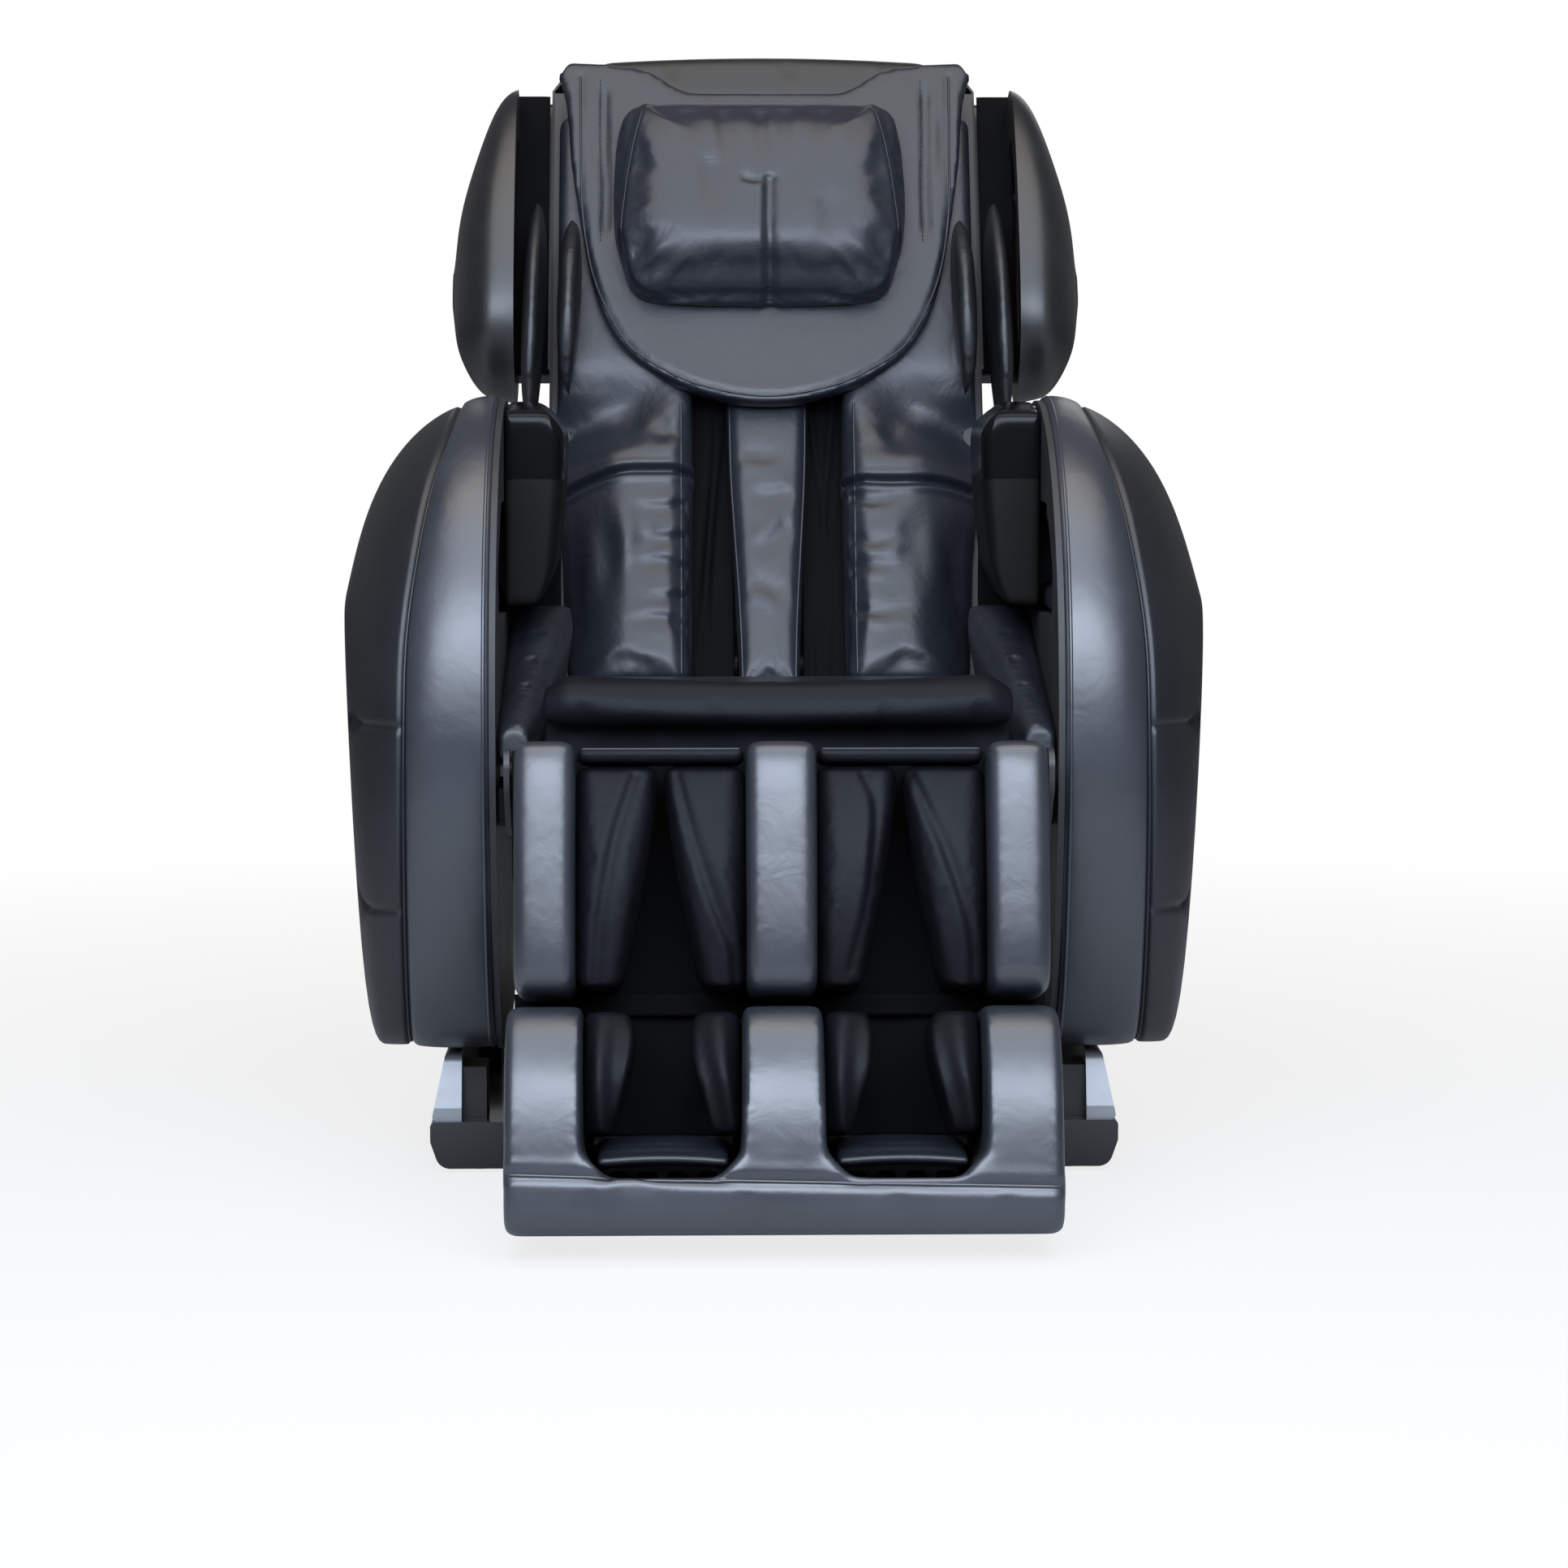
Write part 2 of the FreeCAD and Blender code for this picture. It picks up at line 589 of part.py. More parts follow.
def make_tilt_actuator():
    nose = TILT_LENGTH - 62
    tube = rod_z(14, nose, 0, 0, ACTUATOR_R)
    gearbox = softened(box(-26, 26, -26, 26, 18, 62), 5)
    motor = rod_z(20, 120, 0, -38, 18)
    foot = prism_x([(-14, -14, 12), (14, -14, 12), (14, 20, 4), (-14, 20, 4)], -EYE_WIDTH / 2, EYE_WIDTH / 2)
    foot = foot.cut(rod_x(-EYE_WIDTH, EYE_WIDTH, 0, 0, ACTUATOR_PIN_R + RUNNING))
    tube = fused([tube, gearbox, motor, foot]).cut(rod_z(75, nose + 1, 0, 0, ROD_R + SLIDING))
    eye = prism_x(
        [(-14, TILT_LENGTH - 14, 12), (14, TILT_LENGTH - 14, 12), (14, TILT_LENGTH + 14, 12),
         (-14, TILT_LENGTH + 14, 12)],
        -EYE_WIDTH / 2, EYE_WIDTH / 2,
    )
    eye = eye.cut(rod_x(-EYE_WIDTH, EYE_WIDTH, 0, TILT_LENGTH, ACTUATOR_PIN_R + TILT_SAG + JOINT_GAP))
    rod = rod_z(nose - 110, TILT_LENGTH - 11, 0, 0, ROD_R)
    return along_tilt(tube), along_tilt(rod.fuse(eye))


def make_seat():
    wide, narrow, rear = ARM_INNER_X - 13, RAIL_X - 6, SEAT_REAR + SEAT_TONGUE
    pan = prism_z(
        [(-wide, SEAT_FRONT - 2, 6), (wide, SEAT_FRONT - 2, 6), (wide, SEAT_REAR, 6), (narrow, SEAT_REAR, 0),
         (narrow, rear, 6), (-narrow, rear, 6), (-narrow, SEAT_REAR, 0), (-wide, SEAT_REAR, 6)],
        PAN_Z, CUSHION_Z,
    )
    cushion = box(
        -CUSHION_HALF, CUSHION_HALF, ROLL_REAR + JOINT_GAP, rear - 2,
        CUSHION_Z + SEATED, CUSHION_Z + CUSHION_HEIGHT,
    )
    cushion = softened(cushion, 16)
    roll = prism_x(
        [(ROLL_REAR, CUSHION_Z + SEATED, 4), (ROLL_REAR, ROLL_TOP - 6, 20), (ROLL_REAR - 26, ROLL_TOP, 30),
         (ROLL_FRONT, ROLL_TOP - 14, 24), (ROLL_FRONT, ROLL_BOTTOM, 22), (SEAT_FRONT - 4, ROLL_BOTTOM, 6),
         (SEAT_FRONT - 4, CUSHION_Z + SEATED, 4)],
        -ROLL_HALF, ROLL_HALF,
    )
    return pan, cushion, roll


def make_hip_pad():
    """A side bolster on the seat, tall at the back and low at the front, leaning in over the cushion."""
    low = CUSHION_Z + SEATED
    inner = CUSHION_HALF + HIP_GAP
    outer = ARM_INNER_X - ARM_PANEL - JOINT_GAP
    sections = [
        rounded_loop(
            [(inner, low, 8), (outer, low, 8), (outer, outer_high, 10), (inner + lean, high, 12)], on_xz(y)
        )
        for y, lean, high, outer_high in HIP_SECTIONS
    ]
    return Part.makeLoft(sections, True, False)


# Backrest pieces, in the backrest's own frame

MEMBER_REAR = MEMBER_FRONT + MEMBER_DEPTH
SHELL_HALF = MEMBER_X + MEMBER_WIDTH + 2 * SEATED + SHELL_WALL


def make_back_frame():
    """Ladder frame, hinge lugs, pad boards and the lever that the back actuator pushes."""
    member = box(MEMBER_X, MEMBER_X + MEMBER_WIDTH, MEMBER_FRONT, MEMBER_REAR, -10, FRAME_HIGH + FRAME_BAR)
    lug = prism_x(
        [(-24, -24, 22), (MEMBER_FRONT + 10, -24, 4), (MEMBER_FRONT + 10, 60, 4), (-24, 24, 22)],
        MEMBER_X + 4, MEMBER_X + MEMBER_WIDTH,
    )
    board = box(BOARD_IN, MEMBER_X + MEMBER_WIDTH, -PAD_BACK, -PAD_BACK + BOARD, PAD_LOW - 2, PAD_HIGH)
    webs = [
        box(MEMBER_X + 6, MEMBER_X + MEMBER_WIDTH, -PAD_BACK + BOARD - 1, MEMBER_FRONT + 1, z, z + 40)
        for z in (80, 400, 740)
    ]
    side = fused([member, lug, board] + webs)
    side = side.cut(rod_x(MEMBER_X, MEMBER_X + MEMBER_WIDTH + 1, 0, 0, HINGE_PIN_R + RUNNING))
    bars = [
        box(-MEMBER_X - 1, MEMBER_X + 1, MEMBER_REAR - 30, MEMBER_REAR, z, z + FRAME_BAR)
        for z in (FRAME_LOW, FRAME_HIGH)
    ]
    head_bar = box(-BOARD_IN - 1, BOARD_IN + 1, -PAD_BACK, -PAD_BACK + BOARD, PAD_HIGH - HEAD_BAR, PAD_HIGH)
    lean = math.radians(BACK_LEAN)
    dy, dz = BACK_PIN_Y - HINGE_Y, BACK_PIN_Z - HINGE_Z
    pin_y = dy * math.cos(lean) - dz * math.sin(lean)
    pin_z = dy * math.sin(lean) + dz * math.cos(lean)
    lever = lug_pair(
        BACK_CRANK_X,
        [(pin_y - 12, pin_z - 12, 10), (pin_y + 12, pin_z - 12, 10), (MEMBER_REAR, FRAME_LOW + 20, 2),
         (MEMBER_REAR - 30, FRAME_LOW + 20, 2)],
        pin_y, pin_z,
    )
    return fused([side, mirrored(side)] + bars + [head_bar] + lever)


def make_guides():
    """The two guide bars and the screw that carry the massage unit up and down the back."""
    bars = [
        box(s * GUIDE_X - GUIDE_WIDTH / 2, s * GUIDE_X + GUIDE_WIDTH / 2,
            GUIDE_FRONT, GUIDE_FRONT + GUIDE_DEPTH, FRAME_LOW + FRAME_BAR, FRAME_HIGH)
        for s in (-1, 1)
    ]
    low = box(-20, 20, MEMBER_REAR, SCREW_BACK + 12, FRAME_LOW, FRAME_LOW + FRAME_BAR)
    high = box(-20, 20, MEMBER_REAR, SCREW_BACK + 12, FRAME_HIGH, FRAME_HIGH + FRAME_BAR)
    screw = rod_z(FRAME_LOW + FRAME_BAR - 5, FRAME_HIGH + 5, 0, SCREW_BACK, SCREW_R)
    return Part.makeCompound(bars + [fused([low, high, screw])])


def shell_section(half, rear, front, z, inset):
    """A U-shaped plan section of the rear shell. Inset draws it in for the hollow."""
    side, back = half - inset, rear - inset
    turn = min(MEMBER_REAR + 8, rear - 34) - inset / 2
    return rounded_loop(
        [(side, front, 0), (side, turn, 24), (side - 56, back, 50), (-side + 56, back, 50), (-side, turn, 24),
         (-side, front, 0)],
        on_xy(z),
    )


def shell_body(inset, front, bottom, top):
    """The rear shell as a solid: a bowed body under a cap that slopes in to the top."""
    stations = [(166, bottom), (192, 300), (186, 560), (160, 740), (124, SHELL_SHOULDER)]
    body = Part.makeLoft([shell_section(SHELL_HALF, r, front, z, inset) for r, z in stations], True, False)
    cap_wires = [
        shell_section(SHELL_HALF, 124, front, SHELL_SHOULDER, inset),
        shell_section(SHELL_HALF - 20, 86, front, top, inset),
    ]
    return body.fuse(Part.makeLoft(cap_wires, True, True))


def make_back_shell():
    outer = shell_body(0, -2, SHELL_BOTTOM, BACK_TOP)
    inner = shell_body(SHELL_WALL, -4, SHELL_BOTTOM - 2, BACK_TOP - SHELL_WALL)
    return outer.cut(inner)


def make_back_pads():
    centre_block = box(
        -CENTRE_PAD_HALF, CENTRE_PAD_HALF, -CENTRE_PAD_FACE, -PAD_BACK - 2, PAD_LOW, CENTRE_PAD_HIGH
    )
    centre_block = softened(centre_block, 12)
    half = SIDE_PAD_HALF
    skin = box(-GROOVE_EDGE + 1, GROOVE_EDGE - 1, -PAD_BACK - GROOVE_SKIN, -PAD_BACK, PAD_LOW, PAD_HIGH - 20)
    centre = centre_block.fuse(skin)
    corners = [
        (GROOVE_EDGE, PAD_LOW, 20), (half - 13, PAD_LOW, 30), (half - 9, PAD_LOW + 158, 60),
        (half + 5, PAD_LOW + 278, 50), (half, PAD_LOW + 368, 60), (half, PAD_HIGH, 25),
        (GROOVE_EDGE, PAD_HIGH, 10),
    ]
    left = prism_y(corners, -SIDE_PAD_FACE, -PAD_BACK)
    front_edges = [e for e in left.Edges if abs(e.BoundBox.YMax + SIDE_PAD_FACE) < 0.01]
    left = left.makeFillet(14, front_edges)
    return centre, left, mirrored(left)


def make_head_pad():
    """The shield-shaped pad over the top of the back, dipped between its two ears and round below."""
    place = on_xz(-SIDE_PAD_FACE - SEATED - HEAD_PAD_THICK)
    top, low, half = HEAD_PAD_TOP, HEAD_PAD_BOTTOM, HEAD_PAD_HALF
    edge = [(half * a, low + (top - low) * b) for a, b in HEAD_PAD_EDGE]
    shield = curve_through(edge + [(-x, z) for x, z in reversed(edge[:-1])], place)
    ear = [edge[0], (0.74 * half, top - 6), (0.5 * half, top - 8), (0.42 * half, top - HEAD_PAD_DIP),
           (0.22 * half, top - HEAD_PAD_DIP)]
    brow = curve_near([(-x, z) for x, z in ear] + ear[::-1], place)
    return Part.Face(Part.Wire([shield, brow])).extrude(V(0, HEAD_PAD_THICK, 0))


PILLOW_REAR = -SIDE_PAD_FACE - SEATED - HEAD_PAD_THICK - SEATED


def make_pillow():
    half, top, low = PILLOW_HALF, PILLOW_TOP, PILLOW_BOTTOM
    widest = low + (top - low) / 3
    turn = 1.5 * PILLOW_ROUND
    pillow = prism_y(
        [(half - 6, top, PILLOW_ROUND), (-half + 6, top, PILLOW_ROUND), (-half, widest, turn),
         (-half + 22, low, turn), (half - 22, low, turn), (half, widest, turn)],
        PILLOW_REAR - PILLOW_THICK, PILLOW_REAR,
    )
    front_edges = [e for e in pillow.Edges if abs(e.BoundBox.YMax - (PILLOW_REAR - PILLOW_THICK)) < 0.01]
    return pillow.makeFillet(0.7 * PILLOW_ROUND, front_edges)


WING_OUTLINE = [
    (0.5, 0), (0.9, 0.12), (1, 0.42), (0.94, 0.72), (0.66, 0.96), (0.34, 0.97), (0.05, 0.72), (0, 0.35),
    (0.1, 0.1),
]


def wing_section(x, low, high, rear, front):
    """The wing's side outline at one height and depth. Shares run forwards from rear and up from low."""
    return smooth_loop([(rear + a * (front - rear), low + b * (high - low)) for a, b in WING_OUTLINE], on_yz(x))


WING_STATIONS = [
    (0, 432, 833, 60, -130), (29, 440, 796, 58, -126), (50, 458, 732, 48, -110), (63, 482, 684, 30, -86),
    (71, 508, 632, 2, -56), (75.5, 545, 590, -18, -38),
]


def make_wing():
    """The hollow shoulder housing beside the head, on a bracket from the rear shell."""
    outer = Part.makeLoft(
        [wing_section(WING_INNER_X + x, low, high, rear, front) for x, low, high, rear, front in WING_STATIONS],
        True, False,
    )
    inner_face = prism_x(
        [(40, 470, 30), (-96, 480, 40), (-104, 640, 40), (-60, 770, 40), (40, 740, 30)],
        WING_INNER_X - 1, WING_INNER_X + 40,
    )
    body = outer.cut(inner_face)
    front, rear = WING_BRACKET_FRONT, WING_BRACKET_FRONT + WING_BRACKET_DEPTH
    low, high = WING_BRACKET_LOW, WING_BRACKET_HIGH
    bracket = prism_x(
        [(front, low, 10), (rear, low, 10), (rear, high, 10), (front, high, 10)], SHELL_HALF, WING_INNER_X + 6
    )
    return body.fuse(bracket)


def make_shoulder_airbags():
    """Two curved lobes a side that press the upper arm: one on the side pad, one on the wing's bracket."""
    lobes = []
    on_pad, on_bracket = -SIDE_PAD_FACE - SEATED, WING_BRACKET_FRONT - SEATED
    for x, half, lean_out, back, low, high in (
        (LOBE_X, 13.0, 8.0, on_pad, 418, 630), (OUTER_LOBE_X, 12.0, 12.0, on_bracket, 388, 652)
    ):
        sections = []
        for share, swell in ((0, 0.35), (0.3, 0.9), (0.6, 1.0), (1, 0.4)):
            centre = x + lean_out * (0.5 - share)
            front = -SIDE_PAD_FACE - 4 - 76 * swell
            wide = 3 + (half - 3) * swell
            sections.append(
                rounded_loop(
                    [(centre - wide, back, 3), (centre + wide, back, 3), (centre + wide, front, wide * 0.8),
                     (centre - wide, front, wide * 0.8)],
                    on_xy(low + (high - low) * share),
                )
            )
        lobes.append(Part.makeLoft(sections, True, False))
    return lobes


# Massage unit, in the backrest's own frame

def make_carriage():
    """The unit's frame: guide shoes on the bars, side plates, rear plate, gearbox and the main shaft."""
    z = UNIT_Z
    side_x = GUIDE_X - GUIDE_WIDTH / 2 - 16
    solids = []
    for s in (-1, 1):
        for z0 in (z - 62, z + 22):
            shoe = box(
                s * GUIDE_X - SHOE_HALF, s * GUIDE_X + SHOE_HALF, GUIDE_FRONT - 8, GUIDE_FRONT + GUIDE_DEPTH + 8,
                z0, z0 + 40,
            )
            slot = box(
                s * GUIDE_X - GUIDE_WIDTH / 2 - SLIDING, s * GUIDE_X + GUIDE_WIDTH / 2 + SLIDING,
                GUIDE_FRONT - SLIDING, GUIDE_FRONT + GUIDE_DEPTH + SLIDING, z0 - 1, z0 + 41,
            )
            solids.append(shoe.cut(slot))
        inner, outer = sorted((s * side_x, s * (GUIDE_X - SHOE_HALF)))
        solids.append(
            prism_x([(40, z - 30, 16), (70, z - 70, 10), (134, z - 70, 6), (134, z + 70, 6), (70, z + 70, 10),
                     (40, z + 30, 16)], inner, outer)
        )
    solids.append(box(-side_x, side_x, 128, 134, z - 70, z + 70))
    solids.append(rod_x(-side_x, side_x, SHAFT_BACK, z, SHAFT_R))
    gearbox = softened(box(-22, 22, 56, 129, z - 40, z + 34), 5)
    solids.append(gearbox)
    unit = fused(solids)
    return unit.cut(rod_z(z - 80, z + 80, 0, SCREW_BACK, SCREW_R + SLIDING))


def make_motors():
    """The kneading motor and the travel motor, each flanged to the gearbox's side."""
    z = UNIT_Z
    motors = []
    for s, radius, length in ((1, 20, 88), (-1, 18, 72)):
        inner, outer = sorted((s * 22.0, s * (22.0 + length)))
        can = rod_x(inner, outer, MOTOR_BACK, z - 12, radius)
        cap_inner, cap_outer = sorted((s * (22.0 + length), s * (28.0 + length)))
        motors.append(can.fuse(rod_x(cap_inner, cap_outer, MOTOR_BACK, z - 12, radius * 0.6)))
    return Part.makeCompound(motors)


def make_massage_arm():
    """A bowed arm that rocks on the main shaft, with a stub axle at each end."""
    z = UNIT_Z
    x0, x1 = ARM_PLATE_X, ARM_PLATE_X + ARM_PLATE_WIDTH
    corners = [
        (SHAFT_BACK + 13, z - 14, 12), (SHAFT_BACK + 13, z + 14, 12), (SHAFT_BACK - 14, z + ROLLER_REACH - 6, 16),
        (ROLLER_BACK - 4, z + ROLLER_REACH + 13, 12), (ROLLER_BACK - 13, z + ROLLER_REACH - 8, 10),
        (SHAFT_BACK - 28, z + 14, 14), (SHAFT_BACK - 28, z - 14, 14), (ROLLER_BACK - 13, z - ROLLER_REACH + 8, 10),
        (ROLLER_BACK - 4, z - ROLLER_REACH - 13, 12), (SHAFT_BACK - 14, z - ROLLER_REACH + 6, 16),
    ]
    plate = prism_x(corners, x0, x1).cut(rod_x(x0 - 1, x1 + 1, SHAFT_BACK, z, SHAFT_R + RUNNING))
    axles = [
        rod_x(x1, x1 + ROLLER_WIDTH + 4, ROLLER_BACK, z + s * ROLLER_REACH, ROLLER_AXLE_R) for s in (-1, 1)
    ]
    return fused([plate] + axles)


def make_roller(side):
    """One crowned roller on its stub axle. Side is 1 for the upper one and -1 for the lower."""
    x0 = ARM_PLATE_X + ARM_PLATE_WIDTH + SLIDING
    z = UNIT_Z + side * ROLLER_REACH
    body = rod_x(x0, x0 + ROLLER_WIDTH, ROLLER_BACK, z, ROLLER_R)
    rims = [e for e in body.Edges if e.Length > 2 * math.pi * ROLLER_R - 1]
    body = body.makeFillet(9, rims)
    return body.cut(rod_x(x0 - 1, x0 + ROLLER_WIDTH + 1, ROLLER_BACK, z, ROLLER_AXLE_R + RUNNING))


# Leg rest pieces, in the leg rest's own frame

def leg_loop(corners):
    """Turns (forward, down, radius) corners into the leg rest's own y and z."""
    return [(-forward, -down, radius) for forward, down, radius in corners]


def leg_points(points):
    """Turns (forward, down) points into the leg rest's own y and z."""
    return [(-forward, -down) for forward, down in points]


def make_calf_frame():
    """Back board, knee plates, the crank for the actuator and the tubes that guide the foot unit."""
    back = CALF_BOARD_BACK
    board = box(-CALF_HALF, CALF_HALF, back - CALF_BOARD, back, -CALF_BOTTOM, CALF_BOARD_TOP)
    slot_half = EYE_WIDTH / 2 + JOINT_GAP
    board = board.cut(
        box(LEG_CRANK_X - slot_half, LEG_CRANK_X + slot_half, back - CALF_BOARD - 1, back + 1, -112, -5)
    )
    plate = prism_x(
        leg_loop([(-back, -8, 4), (-back, 120, 4), (-10, 110, 14), (18, 10, 14), (18, -18, 14), (-20, -18, 14)]),
        CALF_HALF, CALF_HALF + KNEE_PLATE,
    )
    plate = plate.cut(rod_x(CALF_HALF - 1, CALF_HALF + KNEE_PLATE + 1, 0, 0, KNEE_PIN_R + RUNNING))
    tube = rod_z(-CALF_BOTTOM + 1, -60, GUIDE_TUBE_X, GUIDE_TUBE_BACK, GUIDE_ROD_R + SLIDING + 4)
    web = box(GUIDE_TUBE_X - 8, GUIDE_TUBE_X + 8, back - 1, GUIDE_TUBE_BACK, -CALF_BOTTOM + 1, -60)
    bore = rod_z(-CALF_BOTTOM, -55, GUIDE_TUBE_X, GUIDE_TUBE_BACK, GUIDE_ROD_R + SLIDING)
    guide = tube.fuse(web).cut(bore)
    lean = math.radians(LEG_LEAN)
    dy, dz = LEG_PIN_Y - KNEE_Y, LEG_PIN_Z - KNEE_Z
    pin_y = dy * math.cos(lean) - dz * math.sin(lean)
    pin_z = dy * math.sin(lean) + dz * math.cos(lean)
    crank = lug_pair(
        LEG_CRANK_X,
        [(pin_y + 12, pin_z - 12, 10), (pin_y + 12, pin_z + 12, 10), (back - 1, pin_z + 26, 2),
         (back - 1, pin_z - 26, 2)],
        pin_y, pin_z,
    )
    return fused([board, plate, mirrored(plate), guide, mirrored(guide)] + crank)


def make_calf_walls():
    """Three upright padded walls with bowed fronts. The legs go in the two channels between them."""
    back, front = -CALF_BOARD_BACK + CALF_BOARD + SEATED, CALF_FRONT
    poles = leg_points([
        (back, -CALF_TOP), (front - 70, -CALF_TOP), (front - 26, -CALF_TOP), (front, 2 - CALF_TOP),
        (front + 2, 0.3 * CALF_BOTTOM), (front + 2, 0.65 * CALF_BOTTOM), (front - 2, CALF_BOTTOM - 14),
        (front - 20, CALF_BOTTOM), (front - 60, CALF_BOTTOM), (back, CALF_BOTTOM),
    ])
    walls = []
    for x0, x1 in ((CALF_CHANNEL_OUT, CALF_HALF - 0.5), (-CENTRE_WALL_HALF, CENTRE_WALL_HALF)):
        outline = closed_wire(curve_near(poles, on_yz(x0)), [], on_yz(x0))
        wall = Part.Face(outline).extrude(V(x1 - x0, 0, 0))
        rims = [e for e in wall.Edges if e.BoundBox.XLength < 0.01 and e.BoundBox.YMin < 0]
        walls.append(wall.makeFillet(WALL_ROUNDING, rims))
    return [walls[0], mirrored(walls[0]), walls[1]]


def make_calf_airbags():
    """Four pads, two in each channel. They nearly meet at the top and stand apart at the bottom."""
    back = CALF_BOARD_BACK - CALF_BOARD - SEATED
    pads = []
    top, bottom = -4, -CALF_BOTTOM + 10
    inner, outer = CENTRE_WALL_HALF + SEATED, CALF_CHANNEL_OUT - SEATED
    middle = (inner + outer) / 2
    for wall_x, toward in ((inner, 1), (outer, -1)):
        sections = []
        for z, reach, front in ((top, middle - inner - 3, 62), (-110, 66, 84), (bottom, 44, 74)):
            x0, x1 = sorted((wall_x, wall_x + toward * reach))
            sections.append(
                rounded_loop([(x0, back, 3), (x1, back, 3), (x1, -front, 16), (x0, -front, 16)], on_xy(z))
            )
        pads.append(Part.makeLoft(sections, True, False))
    return [pads[0], pads[1], mirrored(pads[0]), mirrored(pads[1])]


FOOT_SLOPE = math.tan(math.radians(LEG_LEAN))


def foot_floor(forward):
    """How far down the leg rest's own axis the foot unit's underside is, to stay level above the floor."""
    return (KNEE_Z - FOOT_CLEARANCE) / math.cos(math.radians(LEG_LEAN)) + forward * FOOT_SLOPE


def make_foot_shell():
    """The boot-shaped housing: side walls, centre wall, back board, tray and the bar at the toes."""
    back, front = -FOOT_BOARD_BACK, FOOT_FRONT
    poles = leg_points([
        (back, FOOT_TOP + 30), (back, FOOT_TOP), (back + 30, FOOT_TOP), (front - 96, FOOT_TOP),
        (front - 50, FOOT_TOP), (front - 20, FOOT_TOP + 30), (front, FOOT_TOP + 90), (front + 2, TOE_BAR_TOP - 20),
        (front + 1, TOE_BAR_TOP + 30), (front, foot_floor(front) - 34), (front - 10, foot_floor(front - 10)),
        (front - 60, foot_floor(front - 60)), (back + 30, foot_floor(back + 30)), (back, foot_floor(back)),
        (back, foot_floor(back) - 30),
    ])
    place = on_yz(-FOOT_HALF)
    body = Part.Face(closed_wire(curve_near(poles, place), [], place)).extrude(V(2 * FOOT_HALF, 0, 0))
    rims = [e for e in body.Edges if e.BoundBox.XLength < 0.01]
    body = body.makeFillet(WALL_ROUNDING, rims)
    inner, outer = FOOT_CENTRE_HALF, FOOT_CHANNEL_OUT
    rear = FOOT_BOARD_BACK - 12
    bar = -TOE_BAR_TOP
    for s in (-1, 1):
        channel = prism_y(
            [(s * inner, CHANNEL_OPEN, 0), (s * outer, CHANNEL_OPEN, 0), (s * (outer - 2), bar + 26, 10),
             (s * (outer - 26), bar, 12), (s * (inner + 26), bar, 12), (s * (inner + 2), bar + 26, 10)],
            -front - 50, rear,
        )
        x0, x1 = sorted((s * (inner + 12), s * (outer - 12)))
        deep = 8
        pocket = prism_x(
            leg_loop([(back + 12, 380, 0), (118, 380, 0), (118, foot_floor(118) - deep, 6),
                      (back + 12, foot_floor(back + 12) - deep, 6)]),
            x0, x1,
        )
        body = body.cut(channel).cut(pocket)
        bore_x0, bore_x1 = sorted((s * (inner + 6), s * (outer - 6)))
        body = body.cut(rod_x(bore_x0, bore_x1, -ROLLER_FORWARD, -ROLLER_DOWN, 5 + RUNNING))
    lugs = [
        box(s * GUIDE_TUBE_X - 13, s * GUIDE_TUBE_X + 13, FOOT_BOARD_BACK - 1, GUIDE_TUBE_BACK + 13, -z - 24, -z)
        for s in (-1, 1) for z in (FOOT_TOP + 14, 392)
    ]
    lip_low, lip_high = -FOOT_TOP - 30, -CALF_BOTTOM + 12
    lips = [
        box(x0, x1, CALF_BOARD_BACK + JOINT_GAP, FOOT_BOARD_BACK + 2, lip_low, lip_high)
        for x0, x1 in (
            (-FOOT_HALF + 12, -GUIDE_TUBE_X - 20), (20 - GUIDE_TUBE_X, GUIDE_TUBE_X - 20),
            (GUIDE_TUBE_X + 20, FOOT_HALF - 12),
        )
    ]
    body = fused([body] + lugs + lips)
    for s in (-1, 1):
        body = body.cut(rod_z(-430, -FOOT_TOP, s * GUIDE_TUBE_X, GUIDE_TUBE_BACK, GUIDE_ROD_R))
    return body


ROLLER_FORWARD = 40.0
ROLLER_DOWN = 424.0


def make_foot_roller():
    """A shaft with four raised discs that work the sole from below."""
    inner, outer = FOOT_CENTRE_HALF, FOOT_CHANNEL_OUT
    shaft = rod_x(inner + 6 + SLIDING, outer - 6 - SLIDING, -ROLLER_FORWARD, -ROLLER_DOWN, 5)
    discs = []
    pitch = (outer - inner - 40) / 4
    for i in range(4):
        x0 = inner + 20 + pitch * i + 5
        disc = rod_x(x0, x0 + pitch - 10, -ROLLER_FORWARD, -ROLLER_DOWN, FOOT_ROLLER_R)
        discs.append(softened(disc, 5))
    return fused([shaft] + discs)


def make_sole_pad():
    """The padded plate under the sole, which covers the rollers."""
    inner, outer = FOOT_CENTRE_HALF + 14, FOOT_CHANNEL_OUT - 14
    plate = prism_x(
        leg_loop([(-FOOT_BOARD_BACK + 12 + SEATED, SOLE_TOP, 4), (60, SOLE_TOP + 14, 8), (117, SOLE_TOP + 26, 4),
                  (117, SOLE_TOP + 34, 3), (60, SOLE_TOP + 30, 8),
                  (-FOOT_BOARD_BACK + 12 + SEATED, SOLE_TOP + 16, 4)]),
        inner, outer,
    )
    return plate


